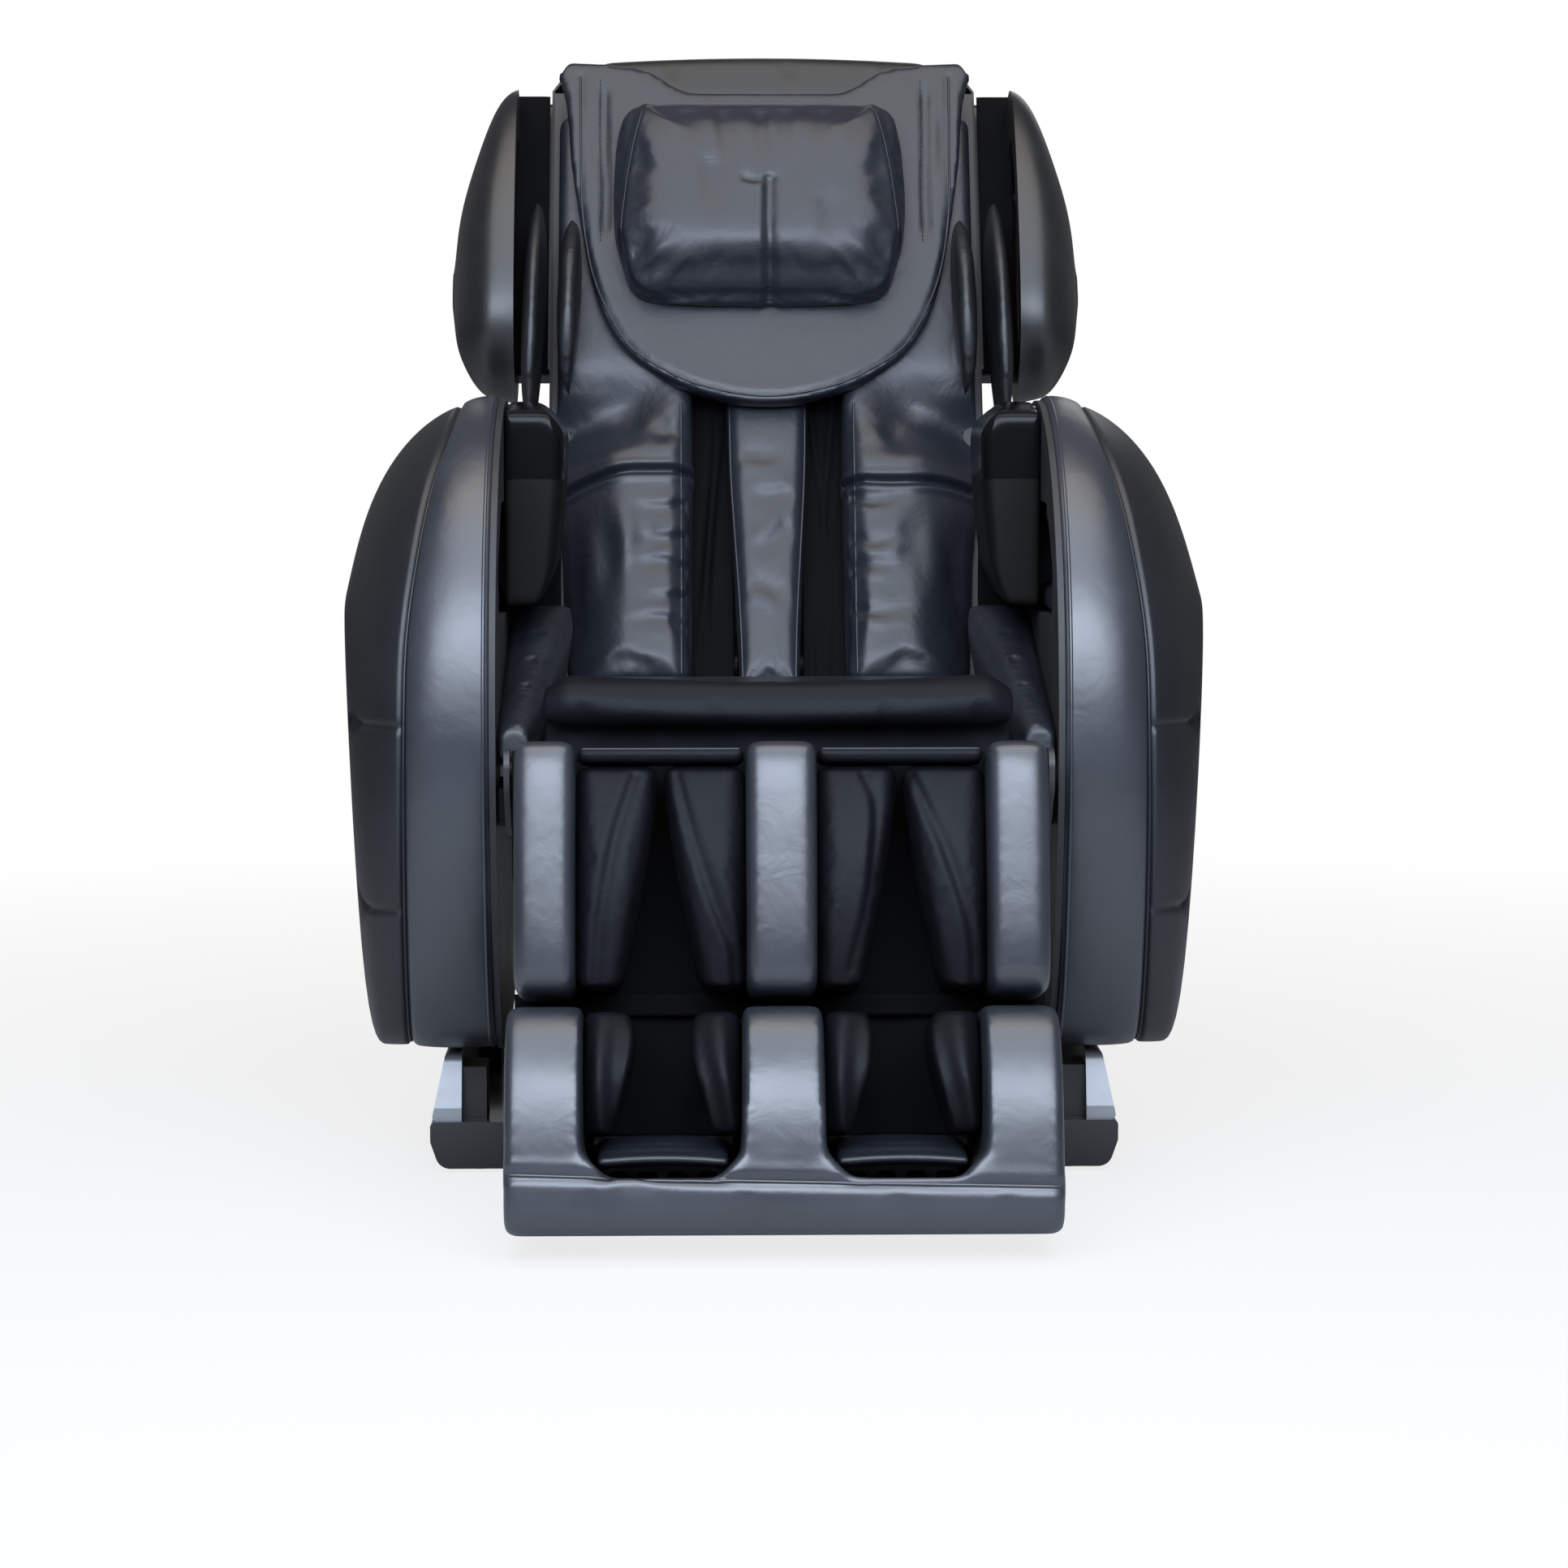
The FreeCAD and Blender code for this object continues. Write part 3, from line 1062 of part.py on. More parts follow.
def make_foot_airbags():
    """Four flaps, one on each side of each foot channel."""
    back = FOOT_BOARD_BACK - 12 - SEATED
    pads = []
    for wall_x, toward in ((FOOT_CENTRE_HALF + SEATED, 1), (FOOT_CHANNEL_OUT - SEATED, -1)):
        sections = []
        for z, reach, front in ((-FOOT_TOP - 4, 30, 70), (-310, 36, 104), (-SOLE_TOP + SEATED, 30, 96)):
            x0, x1 = sorted((wall_x + toward * 2, wall_x + toward * reach))
            sections.append(
                rounded_loop([(x0, back, 3), (x1, back, 3), (x1, -front, 12), (x0, -front, 12)], on_xy(z))
            )
        pads.append(Part.makeLoft(sections, True, False))
    return [pads[0], pads[1], mirrored(pads[0]), mirrored(pads[1])]


def make_extension_rods():
    return [rod_z(-420, -70, s * GUIDE_TUBE_X, GUIDE_TUBE_BACK, GUIDE_ROD_R) for s in (-1, 1)]


# Base and carriage

def make_base_frame():
    solids = []
    for s in (-1, 1):
        x0, x1 = sorted((s * (BEAM_X - BEAM_HALF), s * (BEAM_X + BEAM_HALF)))
        solids.append(box(x0, x1, BASE_FRONT + 15, COVER_REAR, 12, 50))
        centre = s * RAIL_CENTRE
        solids.append(box(centre - 3, centre + 3, BASE_FRONT + 15, BASE_REAR - 15, 45, 66))
        solids.append(box(centre - 8, centre + 8, BASE_FRONT + 15, BASE_REAR - 15, 64, RAIL_HEAD_TOP))
        for y in POST_PLACES:
            u0, u1 = sorted((s * (POST_X - POST_HALF), s * (POST_X + POST_HALF)))
            solids.append(box(u0, u1, y, y + POST_LENGTH, 49, 112))
        for x in (s * (BEAM_X - BEAM_HALF + 3), s * (BEAM_X + BEAM_HALF - 3)):
            solids.append(
                prism_x([(COVER_REAR - 4, 14, 0), (WHEEL_Y + 12, 24, 10), (WHEEL_Y + 12, 48, 10),
                         (COVER_REAR - 4, 50, 0)], x - 3, x + 3)
            )
        solids.append(rod_x(x0, x1, WHEEL_Y, WHEEL_Z, WHEEL_AXLE_R))
    reach = BEAM_X - BEAM_HALF + 1
    for y in (BASE_FRONT + 50, BOX_FRONT - 40):
        solids.append(box(-reach, reach, y, y + 40, 14, 46))
    return fused(solids)


def make_runner_cover():
    """The gloss skid cover: a rounded trough, open towards the middle and the rear, with holes for the feet."""
    outer = prism_y(
        [(SKID_IN, 5, 0), (SKID_OUT - 10, 5, 16), (SKID_OUT, 34, 10), (SKID_OUT, SKID_TOP, 6),
         (SKID_IN, SKID_TOP, 0)],
        BASE_FRONT, COVER_REAR,
    )
    inner = prism_y(
        [(SKID_IN - 1, 8, 0), (SKID_OUT - 13, 8, 14), (SKID_OUT - 3, 34, 8), (SKID_OUT - 3, SKID_TOP - 3, 4),
         (SKID_IN - 1, SKID_TOP - 3, 0)],
        BASE_FRONT + 3, COVER_REAR + 1,
    )
    cover = outer.cut(inner)
    for x, y in foot_places():
        if x > 0:
            cover = cover.cut(rod_z(0, 12, x, y, FOOT_PAD_R + 2))
    slot_in, slot_out = POST_X - POST_HALF - 1, POST_X + POST_HALF + 1
    for y in POST_PLACES:
        cover = cover.cut(box(slot_in, slot_out, y - 1, y + POST_LENGTH + 1, SKID_TOP - 5, SKID_TOP + 1))
    return cover


def foot_places():
    return [(s * BEAM_X, y) for s in (-1, 1) for y in (BASE_FRONT + 50, BASE_REAR - 60)]


def make_feet():
    feet = []
    for x, y in foot_places():
        pad = rod_z(0, 8, x, y, FOOT_PAD_R)
        feet.append(fused([pad, rod_z(7, 12, x, y, 10)]))
    return Part.makeCompound(feet)


def make_trim():
    """The slanted silver plate that stands on the skid and leans in under the arm."""
    inner = POST_X + POST_HALF + SEATED
    plate = prism_y(
        [(inner, SKID_TOP, 0), (SKID_OUT - 1, SKID_TOP, 4), (SKID_OUT - 16, TRIM_TOP, 6), (inner, TRIM_TOP, 2)],
        BASE_FRONT + 8, TRIM_REAR,
    )
    ends = prism_x(
        [(BASE_FRONT + 4, SKID_TOP - 1, 0), (BASE_FRONT + 24, TRIM_TOP + 1, 16),
         (TRIM_REAR - 40, TRIM_TOP + 1, 30), (TRIM_REAR + 4, SKID_TOP - 1, 0)],
        inner - 1, SKID_OUT,
    )
    return plate.common(ends)


def make_wheel():
    wheel = rod_x(BEAM_X - WHEEL_WIDTH / 2, BEAM_X + WHEEL_WIDTH / 2, WHEEL_Y, WHEEL_Z, WHEEL_R)
    wheel = softened(wheel, 4)
    return wheel.cut(rod_x(BEAM_X - WHEEL_WIDTH, BEAM_X + WHEEL_WIDTH, WHEEL_Y, WHEEL_Z, WHEEL_AXLE_R + RUNNING))


def make_power_box():
    """The mains box behind the rear cross tube, with an inlet socket and an opening for the rocker switch."""
    y0, y1 = BOX_FRONT + SEATED, BOX_REAR
    housing = softened(box(-90, 90, y0, y1, 14, 78), 5)
    inlet = box(-70, -40, y1 - 20, y1 + 1, 34, 58)
    pins = [box(x - 1, x + 1, y1 - 21, y1 - 6, 42, 50) for x in (-61, -55, -49)]
    switch = box(SWITCH_IN, SWITCH_OUT, y1 - 24, y1 + 1, ROCKER_Z - 9, ROCKER_Z + 9)
    trunnion = rod_x(SWITCH_IN - 2.5, SWITCH_OUT + 2.5, ROCKER_Y, ROCKER_Z, 2 + RUNNING)
    return fused([housing.cut(inlet).cut(switch).cut(trunnion)] + pins)


def make_rocker():
    """The switch's key: a shallow V on its face, on two trunnions."""
    key = prism_x(
        [(ROCKER_Y - 3, ROCKER_Z - 6.5, 2), (ROCKER_Y + 15, ROCKER_Z - 7, 2), (ROCKER_Y + 11.5, ROCKER_Z, 6),
         (ROCKER_Y + 12, ROCKER_Z + 7, 2), (ROCKER_Y - 3, ROCKER_Z + 6.5, 2)],
        SWITCH_IN + 1, SWITCH_OUT - 1,
    )
    return key.fuse(rod_x(SWITCH_IN - 2, SWITCH_OUT + 2, ROCKER_Y, ROCKER_Z, 2))


def make_glide_carriage():
    """Channels that ride the base rails, risers up to the tilt pins, cross tubes and a tray."""
    solids = []
    for s in (-1, 1):
        c = s * RAIL_CENTRE
        front, rear = GLIDE_FRONT, GLIDE_REAR
        channel = box(c - 14, c + 14, front, rear, GLIDE_TOP - 36, GLIDE_TOP)
        head = box(c - 10, c + 10, front - 1, rear + 1, GLIDE_TOP - 30, RAIL_HEAD_TOP + SLIDING)
        throat = box(c - 5, c + 5, front - 1, rear + 1, GLIDE_TOP - 37, GLIDE_TOP - 29)
        solids.append(channel.cut(head).cut(throat))
        x0, x1 = sorted((s * RISER_X, s * (RISER_X + PLATE)))
        solids.append(
            prism_x(
                [(TILT_Y - 90, GLIDE_TOP - 1, 0), (TILT_Y + 85, GLIDE_TOP - 1, 0),
                 (TILT_Y + 24, TILT_Z + 24, 22), (TILT_Y - 24, TILT_Z + 24, 22)],
                x0, x1,
            )
        )
        p0, p1 = sorted((s * (RAIL_X - 2), s * (RISER_X + PLATE)))
        solids.append(rod_x(p0, p1, TILT_Y, TILT_Z, TILT_PIN_R))
    for y in (GLIDE_FRONT + 4, GLIDE_REAR - 50):
        solids.append(box(-RAIL_CENTRE + 13, RAIL_CENTRE - 13, y, y + 36, GLIDE_TOP - 30, GLIDE_TOP - 2))
    solids.append(box(-TRAY_HALF, TRAY_HALF, GLIDE_FRONT + 10, GLIDE_REAR - 20, GLIDE_TOP - 3, TRAY_TOP))
    foot_y = TILT_ARM_Y - TILT_UP.y * TILT_LENGTH
    for x in (-38.0, 26.0):
        solids.append(box(x, x + 12, foot_y - 20, GLIDE_FRONT + 10, GLIDE_TOP - 30, GLIDE_TOP - 2))
    solids.append(box(-38, 38, foot_y - 20, foot_y + 24, GLIDE_TOP - 30, GLIDE_TOP - 20))
    solids += lug_pair(
        0,
        [(foot_y - 14, 70, 0), (foot_y - 14, TILT_FOOT_Z + 12, 10), (foot_y + 14, TILT_FOOT_Z + 12, 10),
         (foot_y + 14, 70, 0)],
        foot_y, TILT_FOOT_Z,
    )
    return fused(solids)


def make_control_box():
    box_body = softened(box(-225, -95, 60, 230, TRAY_TOP, 165), 6)
    fins = [box(-218 + 16 * i, -212 + 16 * i, 80, 210, 160, 172) for i in range(8)]
    return fused([box_body] + fins)


def make_air_pump():
    block = softened(box(95, 225, 70, 190, TRAY_TOP, 158), 10)
    outlets = [rod_z(150, 172, 110 + 20 * i, 90, 5) for i in range(6)]
    cylinder = rod_x(110, 210, 150, 150, 26)
    return fused([block, cylinder] + outlets)


def build():
    shell, band, panel = make_arm()
    guard = make_guard()
    for side, hand in (("left", lambda s: s), ("right", mirrored)):
        parts["arm_shell_" + side] = hand(shell)
        parts["arm_band_" + side] = hand(band)
        parts["arm_panel_" + side] = hand(panel)
    parts["arm_guards"] = both_sides(guard)
    airbags = make_arm_airbags()
    parts["arm_airbags"] = Part.makeCompound(airbags + [mirrored(a) for a in airbags])

    parts["seat_frame"] = make_seat_frame()
    parts["seat_pan"], parts["seat_cushion"], parts["seat_front_roll"] = make_seat()
    parts["hip_pads"] = both_sides(make_hip_pad())
    parts["back_actuator_tube"], parts["back_actuator_rod"] = make_back_actuator()
    parts["leg_actuator_tube"], parts["leg_actuator_rod"] = make_leg_actuator()
    parts["tilt_actuator_tube"], parts["tilt_actuator_rod"] = make_tilt_actuator()

    parts["back_frame"] = on_back(make_back_frame())
    parts["guide_bars"] = on_back(make_guides())
    parts["back_shell"] = on_back(make_back_shell())
    centre, left, right = make_back_pads()
    parts["back_pad_centre"] = on_back(centre)
    parts["back_pad_left"] = on_back(left)
    parts["back_pad_right"] = on_back(right)
    parts["head_pad"] = on_back(make_head_pad())
    parts["head_pillow"] = on_back(make_pillow())
    wing = make_wing()
    parts["shoulder_shell_left"] = on_back(wing)
    parts["shoulder_shell_right"] = on_back(mirrored(wing))
    lobes = make_shoulder_airbags()
    parts["shoulder_airbags"] = on_back(Part.makeCompound(lobes + [mirrored(a) for a in lobes]))

    parts["massage_carriage"] = on_back(make_carriage())
    parts["massage_motors"] = on_back(make_motors())
    arm = make_massage_arm()
    parts["massage_arm_left"] = on_back(arm)
    parts["massage_arm_right"] = on_back(mirrored(arm))
    for name, side in (("upper", 1), ("lower", -1)):
        roller = make_roller(side)
        parts["roller_" + name + "_left"] = on_back(roller)
        parts["roller_" + name + "_right"] = on_back(mirrored(roller))

    parts["calf_frame"] = on_leg(make_calf_frame())
    parts["calf_walls"] = on_leg(Part.makeCompound(make_calf_walls()))
    parts["calf_airbags"] = on_leg(Part.makeCompound(make_calf_airbags()))
    parts["foot_shell"] = on_leg(make_foot_shell())
    parts["foot_airbags"] = on_leg(Part.makeCompound(make_foot_airbags()))
    parts["sole_pads"] = on_leg(both_sides(make_sole_pad()))
    roller = make_foot_roller()
    parts["foot_roller_left"] = on_leg(roller)
    parts["foot_roller_right"] = on_leg(mirrored(roller))
    parts["extension_rods"] = on_leg(Part.makeCompound(make_extension_rods()))

    parts["base_frame"] = make_base_frame()
    cover = make_runner_cover()
    parts["runner_cover_left"] = cover
    parts["runner_cover_right"] = mirrored(cover)
    parts["runner_trims"] = both_sides(make_trim())
    parts["levelling_feet"] = make_feet()
    wheel = make_wheel()
    parts["transport_wheel_left"] = wheel
    parts["transport_wheel_right"] = mirrored(wheel)
    parts["power_box"] = make_power_box()
    parts["power_rocker"] = make_rocker()
    parts["glide_carriage"] = make_glide_carriage()
    parts["control_box"] = make_control_box()
    parts["air_pump"] = make_air_pump()


def export():
    """Puts the origin on the floor under the middle of the chair, and writes a file for each node."""
    whole = FreeCAD.BoundBox()
    for shape in parts.values():
        whole.add(shape.optimalBoundingBox(False))
    middle_y = round((whole.YMin + whole.YMax) / 2, 1)
    os.makedirs("parts", exist_ok=True)
    for name, shape in parts.items():
        shape.translate(V(0, -middle_y, 0))
        shape.exportStep("parts/" + name + ".step")
    print("middle_y", middle_y)
    print("size", round(whole.XLength, 1), round(whole.YLength, 1), round(whole.ZLength, 1))


build()
export()
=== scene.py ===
# %% [markdown]
# # A massage chair, dressed round its frame
# The frame holds the chair's real pieces at their real size, as plain solids that already move on their
# joints. This lesson gives each of them its looks: leather stretched over foam, moulded covers, painted
# steel, and the light and camera of a studio. Nothing here moves a solid. A soft piece is modelled in its
# solid's place, rides on the same body, and stands for the solid in the picture.

# %% Load the frame
import math
import time

import bpy
import numpy as np
from mathutils import Matrix, Vector
from mathutils.bvhtree import BVHTree


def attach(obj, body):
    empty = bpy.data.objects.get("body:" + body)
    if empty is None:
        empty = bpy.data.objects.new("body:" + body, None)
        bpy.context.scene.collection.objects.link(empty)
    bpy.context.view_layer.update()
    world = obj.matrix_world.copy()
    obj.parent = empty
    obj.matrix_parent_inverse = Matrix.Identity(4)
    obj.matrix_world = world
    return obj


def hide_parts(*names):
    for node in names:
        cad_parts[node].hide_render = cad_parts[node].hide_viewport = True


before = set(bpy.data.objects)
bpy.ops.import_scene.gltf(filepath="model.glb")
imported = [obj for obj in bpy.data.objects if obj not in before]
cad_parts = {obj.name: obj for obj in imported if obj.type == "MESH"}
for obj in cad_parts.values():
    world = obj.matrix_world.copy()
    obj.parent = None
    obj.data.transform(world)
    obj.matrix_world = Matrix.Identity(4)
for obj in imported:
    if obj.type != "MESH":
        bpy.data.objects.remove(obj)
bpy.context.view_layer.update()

scene = bpy.context.scene
started = time.time()

# %% [markdown]
# ## The camera
# A chair seen from the front with nearly parallel sides was taken from far away through a long lens. The
# lens and the distance were worked out together from two widths at different depths: the arms in front,
# the wings behind. The camera looks a little down, and its height is where the arms' tops and the toe bar
# both come out right.

# %% Camera
CAMERA_PLACE = (-0.090, -4.4962, 0.850)
CAMERA_LENS = 93.65
LOOK_DOWN = 5.62
LOOK_RIGHT = 1.3165

lens = bpy.data.cameras.new("camera")
lens.lens = CAMERA_LENS
lens.sensor_width = 36
camera = bpy.data.objects.new("camera", lens)
camera.location = CAMERA_PLACE
camera.rotation_euler = (math.radians(90 - LOOK_DOWN), 0, math.radians(-LOOK_RIGHT))
scene.collection.objects.link(camera)
scene.camera = camera
scene.view_settings.view_transform = "Standard"
print("camera", CAMERA_PLACE, "lens", CAMERA_LENS)

# %% [markdown]
# ## Shader helpers
# A node tree is easier to read when each link is one short call. These helpers serve the world first and
# the materials later.

# %% Node helpers


def new_group(name, inputs, outputs):
    """An empty shader group. Inputs are given as (kind, label, value) and outputs as (kind, label)."""
    tree = bpy.data.node_groups.new(name, "ShaderNodeTree")
    for kind, label, value in inputs:
        socket = tree.interface.new_socket(label, in_out="INPUT", socket_type="NodeSocket" + kind)
        if value is not None:
            socket.default_value = value
    for kind, label in outputs:
        tree.interface.new_socket(label, in_out="OUTPUT", socket_type="NodeSocket" + kind)
    return tree, tree.nodes.new("NodeGroupInput").outputs, tree.nodes.new("NodeGroupOutput").inputs


def add(tree, kind, values=(), **settings):
    """A node with its settings and with inputs filled: a socket is linked and anything else is a value."""
    node = tree.nodes.new("ShaderNode" + kind)
    for key, value in settings.items():
        setattr(node, key, value)
    for key, value in dict(values).items():
        if isinstance(value, bpy.types.NodeSocket):
            tree.links.new(value, node.inputs[key])
        else:
            node.inputs[key].default_value = value
    return node


def combine(tree, operation, first, second):
    """One arithmetic node on two sockets or numbers."""
    return add(tree, "Math", {0: first, 1: second}, operation=operation).outputs[0]


def between(tree, value, low, high, to_low=0.0, to_high=1.0):
    """Maps low..high to another range, held at its ends."""
    values = {"Value": value, "From Min": low, "From Max": high, "To Min": to_low, "To Max": to_high}
    return add(tree, "MapRange", values).outputs[0]


# %% [markdown]
# ## Light and background
# Black leather shows its form only by what it mirrors. A wide panel stands in front, a little higher than
# the chair: it draws the broad pale bands down the arms and the calf walls. Two dimmer panels hang side
# by side over the chair. The cool one in front is mirrored by what leans back, and the warm one behind it
# by what faces up, so the tops are browner than the rest. A weak one behind draws the edges of the back,
# and a dim sky fills the shadows. The background is white for the camera and only a little for mirror
# rays, so the leather keeps its dark edges.

# %% World and lights
SKY_LEVEL = 0.10
MIRRORED_WHITE = 0.08


def world_nodes():
    """A dim cool sky that the camera sees as white."""
    world = bpy.data.worlds.new("studio")
    scene.world = world
    world.use_nodes = True
    tree = world.node_tree
    sky = tree.nodes["Background"]
    sky.inputs["Color"].default_value = (0.93, 0.96, 1, 1)
    sky.inputs["Strength"].default_value = SKY_LEVEL
    white = add(tree, "Background", {"Color": (1, 1, 1, 1)})
    rays = add(tree, "LightPath").outputs
    clear = combine(tree, "MAXIMUM", rays["Is Camera Ray"], rays["Is Transmission Ray"])
    share = combine(tree, "MULTIPLY", rays["Is Glossy Ray"], MIRRORED_WHITE)
    either = combine(tree, "MAXIMUM", clear, share)
    mix = add(tree, "MixShader", {0: either, 1: sky.outputs[0], 2: white.outputs[0]})
    tree.links.new(mix.outputs[0], tree.nodes["World Output"].inputs[0])


def panel_light(name, place, target, width, height, radiance, colour=(1, 1, 1)):
    """A rectangular light that faces a target. Its power follows from the brightness of its face."""
    light = bpy.data.lights.new(name, "AREA")
    light.shape = "RECTANGLE"
    light.size = width
    light.size_y = height
    light.energy = radiance * math.pi * width * height
    light.color = colour
    lamp = bpy.data.objects.new(name, light)
    lamp.location = place
    lamp.rotation_euler = (Vector(target) - Vector(place)).to_track_quat("-Z", "Y").to_euler()
    scene.collection.objects.link(lamp)


world_nodes()
panel_light("key", (-0.1, -2.70, 1.80), (0, -0.2, 0.6), width=3.6, height=1.3, radiance=9.6,
            colour=(0.74, 0.84, 1))
panel_light("overhead_cool", (0, -1.34, 2.586), (0, -0.537, 0.431), width=3.0, height=1.26, radiance=3.1,
            colour=(0.80, 0.88, 1))
panel_light("overhead_warm", (0, -0.31, 2.970), (0, 0.493, 0.815), width=3.0, height=0.94, radiance=2.8,
            colour=(1, 0.91, 0.80))
panel_light("rear", (0.4, 3.0, 2.3), (0, -0.1, 0.6), width=2.4, height=1.2, radiance=1.2)

# %% [markdown]
# ## Shared effects
# An effect that several materials use, such as the grain of leather, is built once as a group. A group
# gives out only numbers, colours and heights, and the shader itself stays in each material, where its
# plain values can be read.
#
# Leather grain is a net of fine creases round small raised cells. Voronoi's distance to the nearest cell
# border draws that net, noise bends the cells so that they don't look like tiles, and a finer noise adds
# the pores. The second output is a slow cloud of lighter and darker leather, and the third the long faint
# pulls that stretched leather has.

# %% Group: leather grain
LEATHER_CELLS = 650.0


def leather_group():
    """The group and its three outputs, all read from the place on the hide."""
    tree, given, out = new_group(
        "leather_grain",
        [("Vector", "Vector", None), ("Float", "Cells per metre", LEATHER_CELLS)],
        [("Float", "Height"), ("Float", "Tone"), ("Float", "Pull")],
    )
    bend = add(tree, "TexNoise",
               {"Vector": given["Vector"], "Scale": 260.0, "Detail": 2.0}).outputs["Color"]
    push = add(tree, "VectorMath", {0: bend, "Scale": 0.0012}, operation="SCALE").outputs[0]
    moved = add(tree, "VectorMath", {0: given["Vector"], 1: push}, operation="ADD").outputs[0]
    scaled = {"Vector": moved, "Scale": given["Cells per metre"]}
    cells = add(tree, "TexVoronoi", scaled, feature="DISTANCE_TO_EDGE")
    net = between(tree, cells.outputs["Distance"], 0.0, 0.16)
    pores = add(tree, "TexNoise",
                {"Vector": given["Vector"], "Scale": 1400.0, "Detail": 1.0}).outputs["Fac"]
    height = combine(tree, "ADD", combine(tree, "MULTIPLY", net, 0.8),
                     combine(tree, "MULTIPLY", pores, 0.35))
    cloud = add(tree, "TexNoise", {"Vector": given["Vector"], "Scale": 9.0, "Detail": 4.0,
                                   "Roughness": 0.6}).outputs["Fac"]
    tone = combine(tree, "ADD", between(tree, cloud, 0.3, 0.7, 0.0, 0.8),
                   combine(tree, "MULTIPLY", net, 0.2))
    pulls = add(tree, "TexNoise", {"Vector": given["Vector"], "Scale": 26.0, "Detail": 3.0,
                                   "Roughness": 0.55, "Distortion": 0.6}).outputs["Fac"]
    tree.links.new(height, out["Height"])
    tree.links.new(tone, out["Tone"])
    tree.links.new(pulls, out["Pull"])
    return tree


LEATHER_GRAIN = leather_group()
print("group", LEATHER_GRAIN.name, "with", len(LEATHER_GRAIN.nodes), "nodes")

# %% [markdown]
# Moulded plastic, powder coat and rubber share one thing: a fine even roughness from the tool or the
# spray gun, and a slow change of gloss where hands and dust have been. One group gives both, at a scale
# that each material sets.

# %% Group: fine surface


def surface_group():
    """The group: an even grain, which may be stretched, and a slow cloud of wear."""
    tree, given, out = new_group(
        "fine_surface",
        [("Vector", "Vector", None), ("Float", "Grain per metre", 900.0), ("Float", "Stretch", 1.0)],
        [("Float", "Height"), ("Float", "Wear")],
    )
    size = add(tree, "CombineXYZ", {0: given["Stretch"], 1: 1.0, 2: 1.0}).outputs[0]
    placed = add(tree, "VectorMath", {0: given["Vector"], 1: size}, operation="MULTIPLY").outputs[0]
    grain = add(tree, "TexNoise", {"Vector": placed, "Scale": given["Grain per metre"],
                                   "Detail": 2.0}).outputs["Fac"]
    slow = add(tree, "TexNoise", {"Vector": given["Vector"], "Scale": 11.0, "Detail": 5.0,
                                  "Roughness": 0.65}).outputs["Fac"]
    tree.links.new(grain, out["Height"])
    tree.links.new(between(tree, slow, 0.32, 0.68), out["Wear"])
    return tree


FINE_SURFACE = surface_group()
print("group", FINE_SURFACE.name, "with", len(FINE_SURFACE.nodes), "nodes")

# %% [markdown]
# ## Materials
# Each kind of finish is one function with plain values: two colours between which it drifts, how rough it
# is, and how deep its grain is. Leather has a clear top coat, thick on the smooth covers and worn dull on
# others, so each leather gets its own specular level.

# %% Material makers
GRAIN_DEPTH = 0.0001


def new_material(name):
    """A new material with its tree, its shader and the object's own coordinates."""
    material = bpy.data.materials.new(name)
    material.use_nodes = True
    tree = material.node_tree
    shader = tree.nodes["Principled BSDF"]
    place = add(tree, "TexCoord").outputs["Object"]
    return material, tree, shader, place


def blend_colours(tree, share, low, high):
    """The first colour where share is 0, the second where it is 1."""
    mix = add(tree, "Mix", {0: share, 6: (*low, 1), 7: (*high, 1)}, data_type="RGBA")
    return mix.outputs[2]


def leather(name, dark, light, rough, pull=0.0006, specular=0.55):
    """Lacquered leather: a fine cell grain, faint pulls, and a colour and gloss that drift a little."""
    material, tree, shader, place = new_material(name)
    hide = add(tree, "Group", node_tree=LEATHER_GRAIN)
    tree.links.new(place, hide.inputs["Vector"])
    hide.inputs["Cells per metre"].default_value = LEATHER_CELLS
    tone = hide.outputs["Tone"]
    tree.links.new(blend_colours(tree, tone, dark, light), shader.inputs["Base Color"])
    tree.links.new(between(tree, tone, 0, 1, rough - 0.05, rough + 0.05), shader.inputs["Roughness"])
    drawn = add(tree, "Bump",
                {"Strength": 1.0, "Distance": pull, "Height": hide.outputs["Pull"]}).outputs[0]
    fine = add(tree, "Bump", {"Strength": 0.22, "Distance": GRAIN_DEPTH, "Height": hide.outputs["Height"],
                              "Normal": drawn}).outputs[0]
    tree.links.new(fine, shader.inputs["Normal"])
    shader.inputs["Specular IOR Level"].default_value = specular
    return material


def hard_surface(name, dark, light, rough, grain=900.0, depth=GRAIN_DEPTH, metal=0.0, coat=0.0, stretch=1.0,
                 drift=0.06, specular=0.5):
    """Moulded, painted or plated surface: fine grain and a slow drift of colour and gloss."""
    material, tree, shader, place = new_material(name)
    skin = add(tree, "Group", node_tree=FINE_SURFACE)
    tree.links.new(place, skin.inputs["Vector"])
    skin.inputs["Grain per metre"].default_value = grain
    skin.inputs["Stretch"].default_value = stretch
    wear = skin.outputs["Wear"]
    tree.links.new(blend_colours(tree, wear, dark, light), shader.inputs["Base Color"])
    tree.links.new(between(tree, wear, 0, 1, rough, rough + drift), shader.inputs["Roughness"])
    bump = {"Strength": 0.6, "Distance": depth, "Height": skin.outputs["Height"]}
    tree.links.new(add(tree, "Bump", bump).outputs[0], shader.inputs["Normal"])
    shader.inputs["Metallic"].default_value = metal
    shader.inputs["Coat Weight"].default_value = coat
    shader.inputs["Specular IOR Level"].default_value = specular
    shader.inputs["Coat Roughness"].default_value = 0.08
    return material


GUARD_CAP = 0.745


